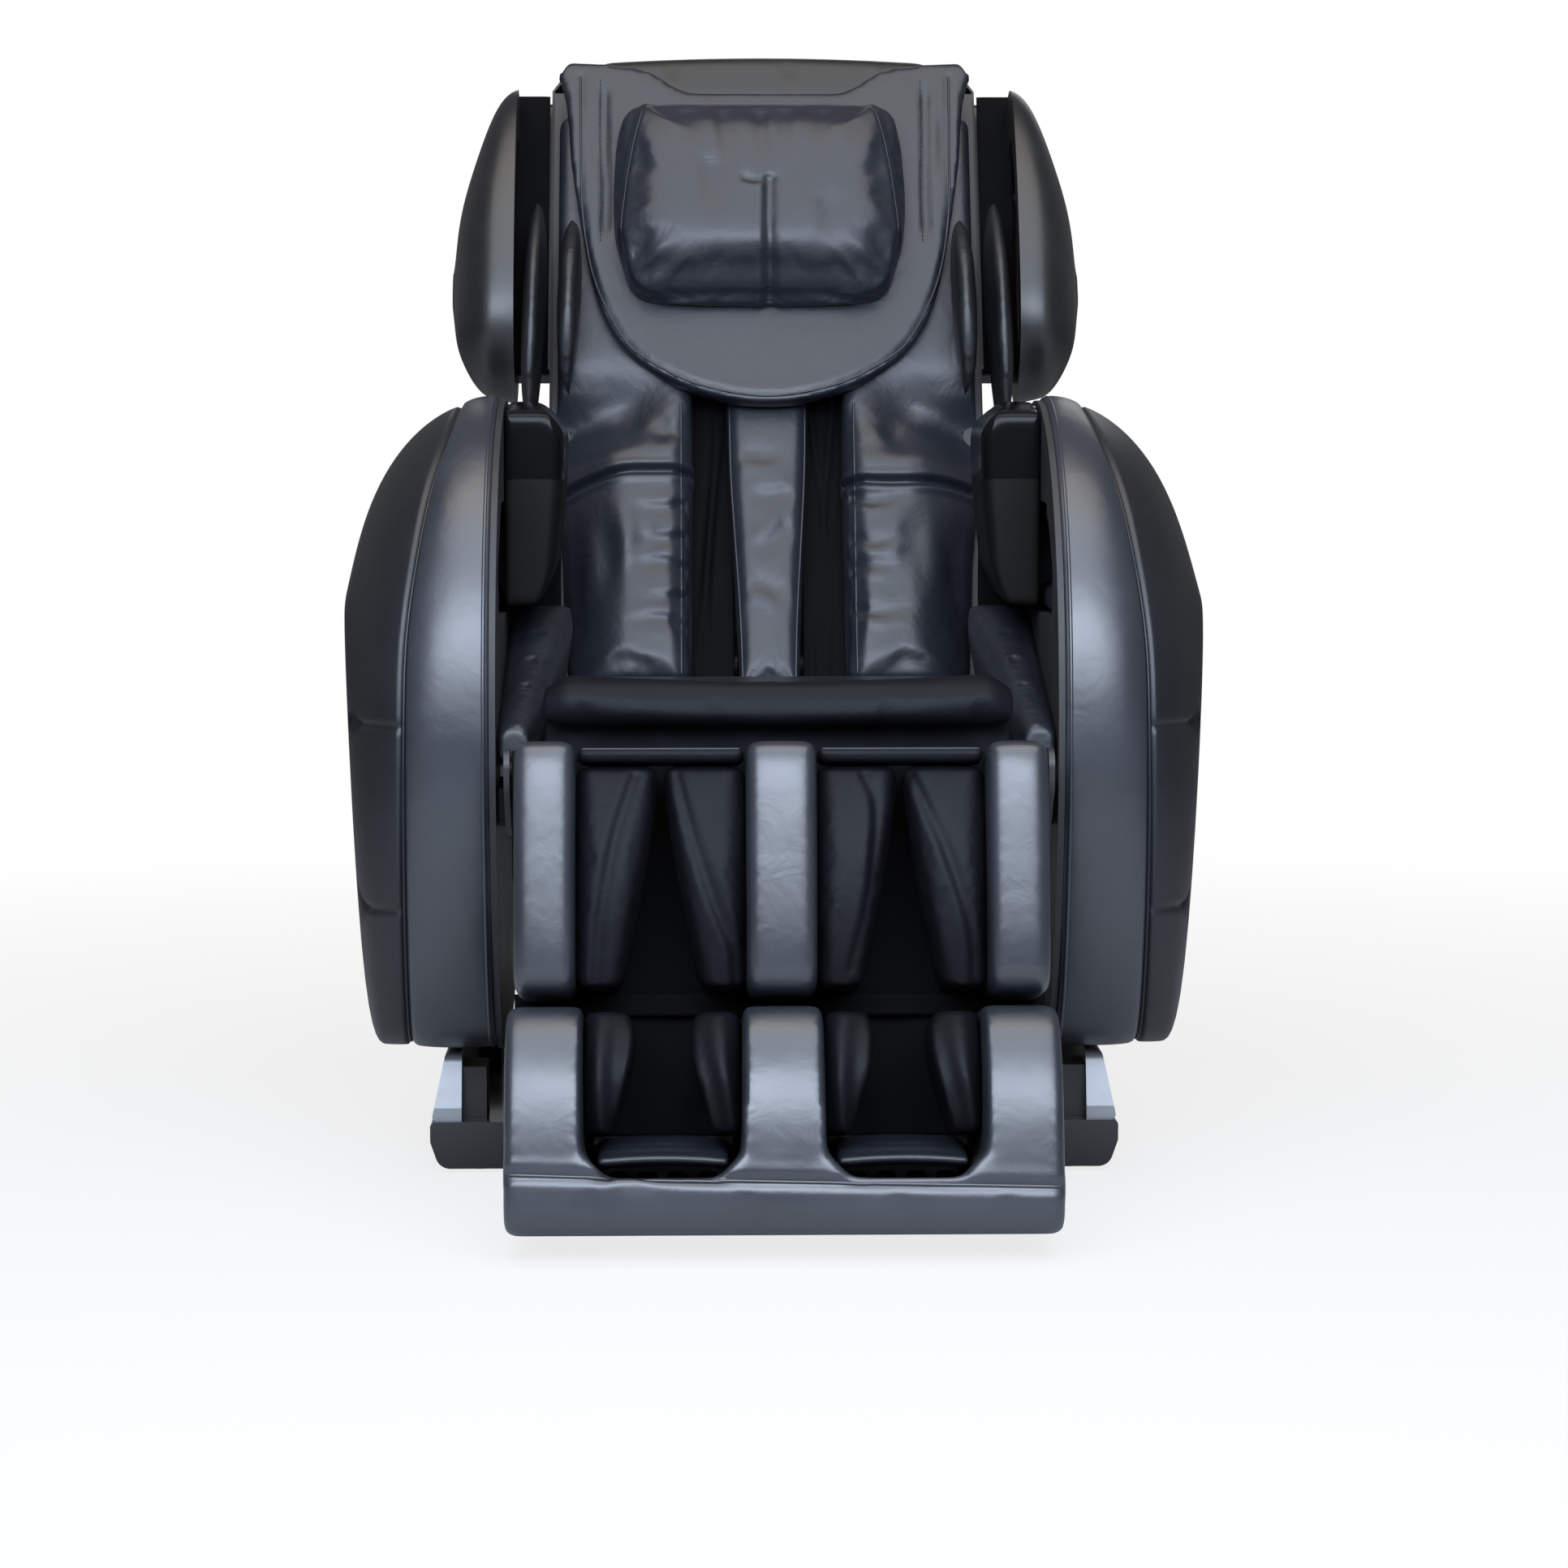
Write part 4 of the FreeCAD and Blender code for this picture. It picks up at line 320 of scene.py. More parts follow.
def guard_material():
    """A gloss cap over a dull pad: the height tells them apart."""
    material, tree, shader, place = new_material("guard")
    skin = add(tree, "Group", node_tree=FINE_SURFACE)
    tree.links.new(place, skin.inputs["Vector"])
    skin.inputs["Grain per metre"].default_value = 700.0
    height = add(tree, "SeparateXYZ", {0: place}).outputs["Z"]
    cap = between(tree, height, GUARD_CAP - 0.001, GUARD_CAP + 0.001)
    dull = blend_colours(tree, skin.outputs["Wear"], (0.0034, 0.0033, 0.0028), (0.0050, 0.0048, 0.0040))
    both = add(tree, "Mix", {0: cap, 6: dull, 7: (0.004, 0.004, 0.0045, 1)}, data_type="RGBA")
    tree.links.new(both.outputs[2], shader.inputs["Base Color"])
    tree.links.new(between(tree, cap, 0, 1, 0.62, 0.16), shader.inputs["Roughness"])
    bump = {"Strength": 0.5, "Distance": GRAIN_DEPTH, "Height": skin.outputs["Height"]}
    tree.links.new(add(tree, "Bump", bump).outputs[0], shader.inputs["Normal"])
    shader.inputs["Specular IOR Level"].default_value = 0.15
    return material


# %% Materials of the chair
FINISHES = [
    leather("black_leather", (0.005, 0.0055, 0.007), (0.009, 0.010, 0.013), rough=0.42),
    leather("grey_leather", (0.014, 0.0160, 0.022), (0.023, 0.0260, 0.035), rough=0.34, specular=0.95),
    leather("soft_cover", (0.009, 0.0105, 0.015), (0.016, 0.0185, 0.026), rough=0.40, pull=0.0012,
            specular=0.55),
    leather("dark_cover", (0.003, 0.0033, 0.0045), (0.006, 0.0066, 0.009), rough=0.48, pull=0.0010,
            specular=0.13),
    # near black: painted shade for the back's grooves, the backs of the foot channels and the gaps the cloth
    # strips close
    leather("groove_cloth", (0.0008, 0.0008, 0.0010), (0.0018, 0.0018, 0.0022), rough=0.80, specular=0.10),
    # near black: painted shade at the back of the calf channels, on the calf frame
    hard_surface("shade_black_board", (0.0010, 0.0010, 0.0012), (0.0020, 0.0020, 0.0024), rough=0.80,
                 specular=0.10),
    hard_surface("shell_satin", (0.010, 0.0095, 0.009), (0.014, 0.0135, 0.012), rough=0.42, grain=60.0),
    hard_surface("wing_satin", (0.007, 0.007, 0.0075), (0.011, 0.011, 0.012), rough=0.34, grain=40.0,
                 specular=0.7),
    guard_material(),
    hard_surface("gloss_black", (0.006, 0.006, 0.007), (0.009, 0.009, 0.010), rough=0.12, grain=30.0,
                 depth=0.00015, coat=0.6, drift=0.05),
    hard_surface("matt_black", (0.012, 0.012, 0.013), (0.022, 0.022, 0.023), rough=0.50, grain=1300.0,
                 depth=0.0002),
    hard_surface("silver", (0.30, 0.31, 0.33), (0.38, 0.39, 0.41), rough=0.34, grain=2200.0,
                 depth=0.00006, metal=0.35, coat=0.2),
    hard_surface("frame_steel", (0.017, 0.017, 0.018), (0.028, 0.028, 0.030), rough=0.42, grain=1600.0,
                 depth=0.00016),
    hard_surface("zinc_steel", (0.42, 0.42, 0.43), (0.56, 0.56, 0.57), rough=0.30, grain=700.0,
                 depth=0.00008, metal=1.0, stretch=0.06),
    hard_surface("rubber", (0.012, 0.012, 0.012), (0.022, 0.022, 0.022), rough=0.70, grain=1100.0,
                 depth=0.00025),
    hard_surface("roller", (0.36, 0.25, 0.16), (0.46, 0.33, 0.22), rough=0.40, grain=500.0),
]
# the frame's own materials hold some of these names, so Blender has numbered the new ones
MATERIALS = {material.name.split(".")[0]: material for material in FINISHES}
print("materials", len(MATERIALS))

# %% [markdown]
# ## The solids that keep their shape
# A rigid solid already has the real form, so it only needs its finish. The imported model names the slot of
# each solid's material, and the solid gets the shader of that slot. Four solids differ from their slot in
# colour or gloss, and a short table names their finish. The calf frame's near-black board is painted shade
# at the back of the calf channels.

# %% Finish of the rigid solids
OWN_FINISH = {
    "back_shell": "shell_satin", "calf_frame": "shade_black_board",
    "shoulder_shell_left": "wing_satin", "shoulder_shell_right": "wing_satin",
}

for name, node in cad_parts.items():
    packed_slot = node.data.materials[0].name
    node.data.materials[0] = MATERIALS[OWN_FINISH.get(name, packed_slot)]
print("finished solids", len(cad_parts))

# %% [markdown]
# ## Places on the leaning parts
# The backrest leans back and the leg rest leans forward, so their pads are easiest to describe in axes
# that lean with them: x across, y towards the rear, z up along the part. A matrix for each turns such a
# place into the chair's own frame and back. The frame stands centred on its box, and the shift of a few
# millimetres in each matrix brings the places to it.

# %% Leaning axes
MIDDLE_SHIFT = 0.0038
BACK = Matrix.Translation((0, 0.150 + MIDDLE_SHIFT, 0.430)) @ Matrix.Rotation(math.radians(-25), 4, "X")
LEG = Matrix.Translation((0, -0.375 + MIDDLE_SHIFT, 0.460)) @ Matrix.Rotation(math.radians(-12), 4, "X")
LEVEL = Matrix.Translation((0, MIDDLE_SHIFT, 0))
SIDES = (("left", 1), ("right", -1))


def turned(matrix, values):
    """Rows of points moved by a matrix."""
    m = np.array(matrix)
    return np.asarray(values, float) @ m[:3, :3].T + m[:3, 3]


# %% [markdown]
# ## Helpers for meshes
# Operators act on what is selected, so each step selects its piece first. Vertex places are read and
# written as one block of numbers, which makes a change of thousands of points as short as a change of
# one.

# %% Selecting, modifiers, points
MERGE_GAP = 1e-5


def rise(value, low, high):
    """0 below low, 1 above high, and a smooth step between them."""
    t = np.clip((value - low) / (high - low), 0, 1)
    return t * t * (3 - 2 * t)


def hill(value, place, width):
    """1 at a place, falling to nothing on both sides."""
    return np.exp(-(((value - place) / width) ** 2))


def only(piece):
    """Object mode, with this piece selected and active and nothing else."""
    if bpy.context.object and bpy.context.object.mode != "OBJECT":
        bpy.ops.object.mode_set(mode="OBJECT")
    bpy.ops.object.select_all(action="DESELECT")
    piece.select_set(True)
    bpy.context.view_layer.objects.active = piece


def apply(piece, kind, **values):
    """Adds a modifier with these settings and applies it."""
    only(piece)
    modifier = piece.modifiers.new(kind.lower(), kind)
    for key, value in values.items():
        setattr(modifier, key, value)
    bpy.ops.object.modifier_apply(modifier=modifier.name)
    return piece


def points(piece):
    """The places of all vertices, as rows."""
    co = np.zeros(len(piece.data.vertices) * 3)
    piece.data.vertices.foreach_get("co", co)
    return co.reshape(-1, 3)


def set_points(piece, co):
    """Writes the places of all vertices."""
    piece.data.vertices.foreach_set("co", np.ascontiguousarray(co, float).ravel())
    piece.data.update()


def normals(piece):
    """The directions in which the vertices face, as rows."""
    values = np.zeros(len(piece.data.vertices) * 3)
    piece.data.vertices.foreach_get("normal", values)
    return values.reshape(-1, 3)


def new_piece(name, mesh):
    """An object in the scene, for a mesh or a curve."""
    piece = bpy.data.objects.new(name, mesh)
    scene.collection.objects.link(piece)
    return piece


def tidy_mesh(piece, merge=True, face_out=False):
    """Merges the piece's double points, turns its faces outwards, or both."""
    only(piece)
    bpy.ops.object.mode_set(mode="EDIT")
    bpy.ops.mesh.select_all(action="SELECT")
    if merge:
        bpy.ops.mesh.remove_doubles(threshold=MERGE_GAP)
    if face_out:
        bpy.ops.mesh.normals_make_consistent(inside=False)
    bpy.ops.object.mode_set(mode="OBJECT")
    return piece


def take(node, name):
    """A piece that starts as a solid's own mesh, with its loose triangles merged."""
    return tidy_mesh(new_piece(name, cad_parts[node].data.copy()))


def take_each(node, names):
    """A solid made of separate blocks, as one piece for each, named from the lowest x to the highest."""
    whole = take(node, node + "_all")
    only(whole)
    bpy.ops.mesh.separate(type="LOOSE")
    found = sorted(bpy.context.selected_objects, key=lambda o: points(o)[:, 0].mean())
    for piece, name in zip(found, names, strict=True):
        piece.name = name
        piece.data.name = name
    return found


def mirrored(piece, name):
    """The same piece on the chair's other side."""
    copy = new_piece(name, piece.data.copy())
    copy.data.transform(Matrix.Scale(-1, 4, (1, 0, 0)))
    copy.data.flip_normals()
    return copy


def finish_piece(piece, body, slot, nodes=(), fill=None, material=None):
    """Smooth shading, finish, body, and the solids that the piece stands for."""
    piece.data.materials.clear()
    piece.data.materials.append(MATERIALS[material or slot])
    piece.data.shade_smooth()
    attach(piece, body)
    if nodes:
        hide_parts(*nodes)
    print(piece.name, "faces", len(piece.data.polygons), "on", body, round(time.time() - started, 1), "s")


# %% [markdown]
# ## Helpers for padding
# A padded piece starts as its solid, rebuilt in even small squares by a voxel remesh, so that it can bend
# anywhere. The cover is then blown up as cloth: its cut is a little larger than the foam, so it swells
# between the places that hold it and puckers beside them, as real upholstery does. Movement is capped,
# which keeps the pad in its place.

# %% Remesh and puff
COVER_CLOTH = {
    "quality": 5, "mass": 0.3, "tension_stiffness": 15, "compression_stiffness": 15, "shear_stiffness": 5,
    "bending_stiffness": 0.5, "use_pressure": True, "uniform_pressure_force": 4.0,
}


def rebuild(piece, voxel, smooth=4):
    """Even small faces, with sharp edges turned soft."""
    apply(piece, "REMESH", mode="VOXEL", voxel_size=voxel)
    apply(piece, "SMOOTH", factor=0.5, iterations=smooth)
    return piece


def puff(piece, loose, cap, held, lean=Matrix.Identity(4), frames=20):
    """Blows the cover up as cloth. Loose says how much larger its cut is, and held marks what stays."""
    start = points(piece)
    flat = turned(lean.inverted(), start)
    middle = (flat.min(0) + flat.max(0)) / 2
    cut = turned(lean, middle + (flat - middle) * np.array(loose))
    only(piece)
    piece.shape_key_add(name="Basis")
    wide = piece.shape_key_add(name="cut")
    wide.data.foreach_set("co", cut.ravel())
    wide.value = 0
    modifier = piece.modifiers.new("cloth", "CLOTH")
    cloth = modifier.settings
    for key, value in COVER_CLOTH.items():
        setattr(cloth, key, value)
    cloth.effector_weights.gravity = 0
    cloth.rest_shape_key = wide
    group = piece.vertex_groups.new(name="held")
    group.add(np.flatnonzero(held).tolist(), 1.0, "REPLACE")
    cloth.vertex_group_mass = "held"
    modifier.point_cache.frame_start = 1
    modifier.point_cache.frame_end = frames
    for step in range(1, frames + 1):
        scene.frame_set(step)
    evaluated = piece.evaluated_get(bpy.context.evaluated_depsgraph_get())
    moved = np.zeros(start.size)
    evaluated.data.vertices.foreach_get("co", moved)
    travel = moved.reshape(-1, 3) - start
    length = np.maximum(np.linalg.norm(travel, axis=1, keepdims=True), 1e-9)
    travel *= cap * np.tanh(length / cap) / length
    piece.modifiers.remove(modifier)
    piece.shape_key_clear()
    piece.vertex_groups.clear()
    set_points(piece, start + travel)
    scene.frame_set(1)
    print(piece.name, "puffed", len(start), "points, at most", round(float(length.max()) * 1000), "mm")


# %% [markdown]
# A seam is drawn by a few points of the front view, joined by a smooth curve and dropped onto the
# surface. The same line then serves three times: the surface is pressed in along it, a welt is laid in
# the valley, and stitches run beside it. Folds are made the same way, with a line that fades at its ends.

# %% Lines on a surface
LINE_STEP = 0.003
IN_FRONT = -0.6


def smooth_line(controls, step=LINE_STEP):
    """A smooth curve through the control points, cut into even steps."""
    given = np.asarray(controls, float)
    given = np.vstack([2 * given[0] - given[1], given, 2 * given[-1] - given[-2]])
    rows = []
    for a, b, c, d in zip(given, given[1:], given[2:], given[3:]):
        t = np.linspace(0, 1, 24, endpoint=False)[:, None]
        bend, twist = 2 * a - 5 * b + 4 * c - d, 3 * b - a - 3 * c + d
        rows.append(0.5 * (2 * b + (c - a) * t + bend * t**2 + twist * t**3))
    curve = np.vstack(rows + [given[-2:-1]])
    along = np.concatenate([[0], np.cumsum(np.linalg.norm(np.diff(curve, axis=0), axis=1))])
    even = np.linspace(0, along[-1], max(3, round(along[-1] / step) + 1))
    return np.stack([np.interp(even, along, curve[:, i]) for i in range(curve.shape[1])], axis=1)


def surface_of(piece):
    """A search tree of the piece's faces."""
    mesh = piece.data
    return BVHTree.FromPolygons([v.co for v in mesh.vertices], [p.vertices for p in mesh.polygons])


def drop(piece, controls, axes):
    """The curve through (x, z) controls of the leaning front view, dropped backwards onto the surface."""
    tree = surface_of(piece)
    way = axes.to_3x3() @ Vector((0, 1, 0))
    found = []
    for x, z in smooth_line(controls):
        place, normal, _, _ = tree.ray_cast(axes @ Vector((x, IN_FRONT, z)), way)
        if place is not None:
            found.append((*place, *normal))
    found = np.array(found)
    return found[:, :3], found[:, 3:]


def nearest(piece, controls, step=LINE_STEP):
    """The curve through (x, y, z) controls, moved to the nearest place on the surface."""
    tree = surface_of(piece)
    flat = turned(LEVEL, smooth_line(controls, step))
    found = [tree.find_nearest(Vector(place))[:2] for place in flat]
    return np.array([place for place, _ in found]), np.array([normal for _, normal in found])


def press(piece, line, width, depth, ridge=0.0, fade=0.0, lean=0.0):
    """Presses a valley along a line. Ridge swells its banks, lean lifts one, and fade ends it softly."""
    places, facing = line
    co = points(piece)
    out = normals(piece)
    reach = 3.2 * width
    near = np.flatnonzero(((co > places.min(0) - reach) & (co < places.max(0) + reach)).all(1))
    gaps = np.linalg.norm(co[near, None] - places[None], axis=2)
    which = gaps.argmin(1)
    gap = gaps[np.arange(len(near)), which] / width
    share = which / (len(places) - 1)
    level = np.ones(len(near))
    if fade:
        first, last = fade if isinstance(fade, tuple) else (fade, fade)
        level = rise(share, 0, first) * rise(1 - share, 0, last)
    level *= rise(np.einsum("ij,ij->i", out[near], facing[which]), 0.1, 0.5)
    bank = np.cross(np.gradient(places, axis=0), facing)
    bank /= np.maximum(np.linalg.norm(bank, axis=1, keepdims=True), 1e-9)
    side = np.einsum("ij,ij->i", co[near] - places[which], bank[which]) / width
    move = ridge * hill(gap, 2.1, 1.2) - depth * hill(gap, 0, 1) + lean * side * np.exp(-gap * gap / 2)
    move *= level
    co[near] += out[near] * move[:, None]
    set_points(piece, co)


def path_curve(name, places):
    """A curve through a row of places."""
    data = bpy.data.curves.new(name, "CURVE")
    data.dimensions = "3D"
    spline = data.splines.new("POLY")
    spline.points.add(len(places) - 1)
    spline.points.foreach_set("co", np.hstack([places, np.ones((len(places), 1))]).ravel())
    return data


def curve_piece(name, places, radius, closed=False):
    """A round cord along a row of places, as a mesh."""
    data = path_curve(name, places)
    data.bevel_depth = radius
    data.bevel_resolution = 3
    data.use_fill_caps = not closed
    data.splines[0].use_cyclic_u = closed
    made = new_piece(name + "_line", data)
    mesh = bpy.data.meshes.new_from_object(made)
    mesh.name = name
    bpy.data.objects.remove(made)
    return new_piece(name, mesh)


def welt(name, line, radius, body, slot, lift, material=None):
    """Piping laid along a line on the surface."""
    places, facing = line
    finish_piece(curve_piece(name, places + facing * lift, radius), body, slot, material=material)


# %% Blocks and stitches
STITCH_PITCH = 0.0062
STITCH_LENGTH = 0.0042
THREAD_RADIUS = 0.0005


def block(name, size, place, bevel, axes=None, segments=4):
    """A rounded block from a cube that is stretched, moved, bevelled and set in leaning axes."""
    bpy.ops.object.select_all(action="DESELECT")
    bpy.ops.mesh.primitive_cube_add(size=1, location=(0, 0, 0))
    piece = bpy.context.object
    piece.name = name
    bpy.ops.object.mode_set(mode="EDIT")
    bpy.ops.transform.resize(value=size)
    bpy.ops.transform.translate(value=place)
    bpy.ops.mesh.bevel(offset=bevel, segments=segments)
    bpy.ops.object.mode_set(mode="OBJECT")
    if axes:
        piece.data.transform(axes)
    return piece


def stitches(name, line, body, slot, aside):
    """A row of thread stitches: one bevelled stitch, repeated and bent along the line."""
    places, facing = line
    ahead = np.gradient(places, axis=0)
    side = np.cross(ahead, facing)
    side /= np.linalg.norm(side, axis=1, keepdims=True)
    path = places + side * aside + facing * THREAD_RADIUS * 0.6
    run = np.linalg.norm(np.diff(path, axis=0), axis=1).sum()
    guide = new_piece(name + "_path", path_curve(name + "_path", path))
    size = (STITCH_LENGTH, 2 * THREAD_RADIUS, 2 * THREAD_RADIUS)
    thread = block(name, size, (STITCH_LENGTH / 2, 0, 0), THREAD_RADIUS * 0.8, segments=1)
    pitch = (STITCH_PITCH, 0, 0)
    apply(thread, "ARRAY", fit_type="FIXED_COUNT", count=max(1, int(run / STITCH_PITCH)),
          use_relative_offset=False, use_constant_offset=True, constant_offset_displace=pitch)
    apply(thread, "CURVE", object=guide, deform_axis="POS_X")
    bpy.data.objects.remove(guide)
    finish_piece(thread, body, slot)


# %% [markdown]
# ## The arms
# Each arm is a moulded shell covered in leather. Seen from the side it is one round outline, and towards
# the outside that outline shrinks: first over the top, which gives the sloping shoulder, and last below,
# which gives the tuck over the floor. A grid of points on that form can carry what the photograph shows:
# a padded band round the inner edge, a curved seam, and two sewn lines across the outer cover. The band
# and the cover are two pieces.

# %% The arm's form
ARM_OUTLINE = np.array([
    (-0.060, 0.134), (-0.180, 0.152), (-0.264, 0.280), (-0.296, 0.480), (-0.256, 0.660), (-0.140, 0.786),
    (0.010, 0.833), (0.170, 0.796), (0.288, 0.676), (0.336, 0.520), (0.290, 0.320), (0.185, 0.175),
    (0.070, 0.135),
])
ARM_INNER = 0.299
ARM_OUTER = 0.4572
ARM_FRONT = -0.296
ARM_REAR = 0.336
ARM_BOTTOM = 0.134
ARM_TOP = 0.833
ARM_COLUMNS = 560
SHOULDER_FALL = 0.192
FLOOR_TUCK = 0.430
END_PULL = 0.150


def closed_spline(given, count):
    """A periodic cubic through the points, timed by the distance between them, at count even steps."""
    steps = np.linalg.norm(np.roll(given, -1, axis=0) - given, axis=1)
    n = len(given)
    system = np.zeros((n, n))
    right = np.zeros((n, 2))
    for i in range(n):
        before, after = steps[i - 1], steps[i]
        system[i, i - 1] += before
        system[i, i] += 2 * (before + after)
        system[i, (i + 1) % n] += after
        right[i] = 6 * ((given[(i + 1) % n] - given[i]) / after - (given[i] - given[i - 1]) / before)
    bend = np.linalg.solve(system, right)
    starts = np.concatenate([[0], np.cumsum(steps)])
    at = np.linspace(0, starts[-1], count, endpoint=False)
    i = np.searchsorted(starts, at, side="right") - 1
    j = (i + 1) % n
    h = steps[i][:, None]
    a = (starts[i + 1] - at)[:, None]
    b = (at - starts[i])[:, None]
    return (bend[i] * a**3 + bend[j] * b**3) / (6 * h) + (given[i] / h - bend[i] * h / 6) * a + (
        given[j] / h - bend[j] * h / 6
    ) * b


ARM_RING = closed_spline(ARM_OUTLINE, ARM_COLUMNS)


def arm_place(share, column):
    """Points of the left arm: share is 0 at the inner edge and 1 outside, column runs round the outline."""
    share = np.broadcast_to(np.asarray(share, float), np.shape(column))
    fall = SHOULDER_FALL * (1 - np.sqrt(1 - (0.99 * share) ** 2)) / 0.859
    tuck = FLOOR_TUCK * (np.maximum(0, share - 0.76) / 0.24) ** 3
    ends = END_PULL * (1 - (1 - (0.99 * share) ** 3) ** (1 / 3)) / 0.69
    y, z = ARM_RING[column].T
    front, rear = ARM_FRONT + ends, ARM_REAR - ends
    low, high = ARM_BOTTOM + tuck, ARM_TOP - fall
    return np.stack([
        ARM_INNER + share * (ARM_OUTER - ARM_INNER),
        front + (y - ARM_FRONT) / (ARM_REAR - ARM_FRONT) * (rear - front) + MIDDLE_SHIFT,
        low + (z - ARM_BOTTOM) / (ARM_TOP - ARM_BOTTOM) * (high - low),
    ], axis=-1)


SEAM_HEIGHTS = (0.12, 0.58, 0.64, 0.69, 0.75, 0.79, 0.84)
SEAM_PLACES = (0.393, 0.389, 0.382, 0.374, 0.365, 0.350, 0.334)


def seam_share():
    """How far out the seam between band and cover is, for each column: it curves inwards over the top."""
    heights = np.linspace(0.10, 0.86, 200)
    places = np.interp(heights, SEAM_HEIGHTS, SEAM_PLACES)
    for _ in range(60):
        places[1:-1] = (places[:-2] + places[2:]) / 2
    column = np.arange(ARM_COLUMNS)
    share = np.full(ARM_COLUMNS, 0.5)
    for _ in range(8):
        x = np.interp(arm_place(share, column)[:, 2], heights, places)
        share = (x - ARM_INNER) / (ARM_OUTER - ARM_INNER)
    return share


def grid_normals(grid):
    """Outward normals of a closed-ring grid, from its own neighbours."""
    along = np.roll(grid, -1, axis=1) - np.roll(grid, 1, axis=1)
    across = np.gradient(grid, axis=0)
    out = np.cross(across, along)
    return out / np.maximum(np.linalg.norm(out, axis=2, keepdims=True), 1e-12)


def grid_piece(name, rows):
    """A mesh from rings of points, each joined to the next."""
    count, ring = rows.shape[:2]
    corner = np.arange(count * ring).reshape(count, ring)
    a, b = corner[:-1], corner[1:]
    faces = np.stack([a, b, np.roll(b, -1, axis=1), np.roll(a, -1, axis=1)], axis=-1).reshape(-1, 4)
    mesh = bpy.data.meshes.new(name)
    mesh.from_pydata(rows.reshape(-1, 3).tolist(), [], faces.tolist())
    return new_piece(name, mesh)


SEAM_SHARE = seam_share()
print("arm seam from x", round(float(arm_place(SEAM_SHARE, np.arange(ARM_COLUMNS))[:, 0].min()), 3))

# %% [markdown]
# The band is crowned between its two edges, dips into the seam and rolls over the inner edge towards the
# panel. The cover rises out of the same seam. Both get a wall, so they are closed shapes and not paper.

# %% Arm bands and covers
SEWN_LINES = (0.494, 0.300)
COVER_WALL = 0.003


def arm_band():
    """The padded strip next to the sitter, from the rolled inner edge to the seam."""
    column = np.arange(ARM_COLUMNS)
    across = np.concatenate([[0, 0.02, 0.05], np.linspace(0.1, 0.9, 13), [0.94, 0.965, 0.985, 1.0]])
    face = np.stack([arm_place(SEAM_SHARE * u, column) for u in across])
    out = grid_normals(face)
    crown = 0.0030 * (1 - np.abs(2 * across - 1) ** 3)
    dip = 0.0065 * np.exp(-(((1 - across) / 0.045) ** 2)) + 0.0020 * np.exp(-((across / 0.03) ** 2))
    face += out * (crown - dip)[:, None, None]
    edge = face[0]
    inward = -out[0] * np.array([0, 1, 1])
    roll = ((0.014, 0.010), (0.010, 0.003), (0.005, 0.0003))
    rolled = [edge + inward * k + np.array([x, 0, 0]) for k, x in roll]
    piece = grid_piece("arm_band_cover_left", np.concatenate([np.stack(rolled), face]))
    return apply(piece, "SOLIDIFY", thickness=COVER_WALL, offset=-1)


def arm_cover():
    """The outer cover: out of the seam, over the shoulder and down the side, where it closes."""
    column = np.arange(ARM_COLUMNS)
    across = np.concatenate([[0, 0.01, 0.025, 0.05], np.linspace(0.09, 0.8, 16), np.linspace(0.83, 1, 14)])
    face = np.stack([arm_place(SEAM_SHARE + (1 - SEAM_SHARE) * u, column) for u in across])
    out = grid_normals(face)
    depth = 0.0065 * np.exp(-((across / 0.028) ** 2))[:, None] - 0.0015 * (1 - (1 - across[:, None]) ** 4)
    depth = depth + sum(0.0030 * np.exp(-(((face[:, :, 2] - z) / 0.0035) ** 2)) for z in SEWN_LINES)
    face -= out * depth[:, :, None]
    middle = face[-1].mean(axis=0)
    closing = [middle + (face[-1] - middle) * k + np.array([0.0006 * (1 - k), 0, 0])
               for k in (0.8, 0.55, 0.3, 0.1, 0)]
    piece = grid_piece("arm_cover_left", np.concatenate([face, np.stack(closing)]))
    return apply(tidy_mesh(piece, face_out=True), "SOLIDIFY", thickness=COVER_WALL, offset=-1)


# %% Both arms and their piping


def arm_line(share, lift):
    """A closed line round the arm, with its facing, for the piping."""
    column = np.arange(ARM_COLUMNS)
    rows = np.stack([arm_place(np.clip(share + d, 0, 1), column) for d in (-0.01, 0, 0.01)])
    out = grid_normals(rows)[1]
    return rows[1] + out * lift, out


for made, node, slot, fill in (
    (arm_band(), "arm_band", "grey_leather", 0.8),
    (arm_cover(), "arm_shell", "black_leather", 0.7),
):
    other = mirrored(made, made.name.replace("left", "right"))
    for side, piece in (("left", made), ("right", other)):
        finish_piece(piece, "chair", slot, [f"{node}_{side}"], fill=fill)
for name, share, lift, radius, slot in (
    ("arm_edge_welt", 0.035, 0.0002, 0.0022, "grey_leather"),
    ("arm_seam_welt", SEAM_SHARE, -0.0045, 0.0020, "black_leather"),
):
    places, facing = arm_line(share, lift)
    ring = curve_piece(name + "_left", places, radius, closed=True)
    for piece in (ring, mirrored(ring, name + "_right")):
        finish_piece(piece, "chair", slot)

# %% [markdown]
# ## Helpers for shaping
# Some forms of a pad are easier to say as a rule than to push about by hand: thinner towards its outer
# flank, full above a fold, dipped in the middle. A rule takes the places of all points in leaning axes
# and gives them back moved. Creases come after it, as lines that are pressed into the finished skin.

# %% Rules and creases


def sculpt(piece, axes, rule):
    """Moves every point by a rule that takes and returns x, y and z in leaning axes."""
    x, y, z = turned(axes.inverted(), points(piece)).T
    set_points(piece, turned(axes, np.stack(rule(x, y, z), axis=1)))


def local(piece, axes):
    """Rows of x, y and z of a piece in leaning axes."""
    return turned(axes.inverted(), points(piece)).T


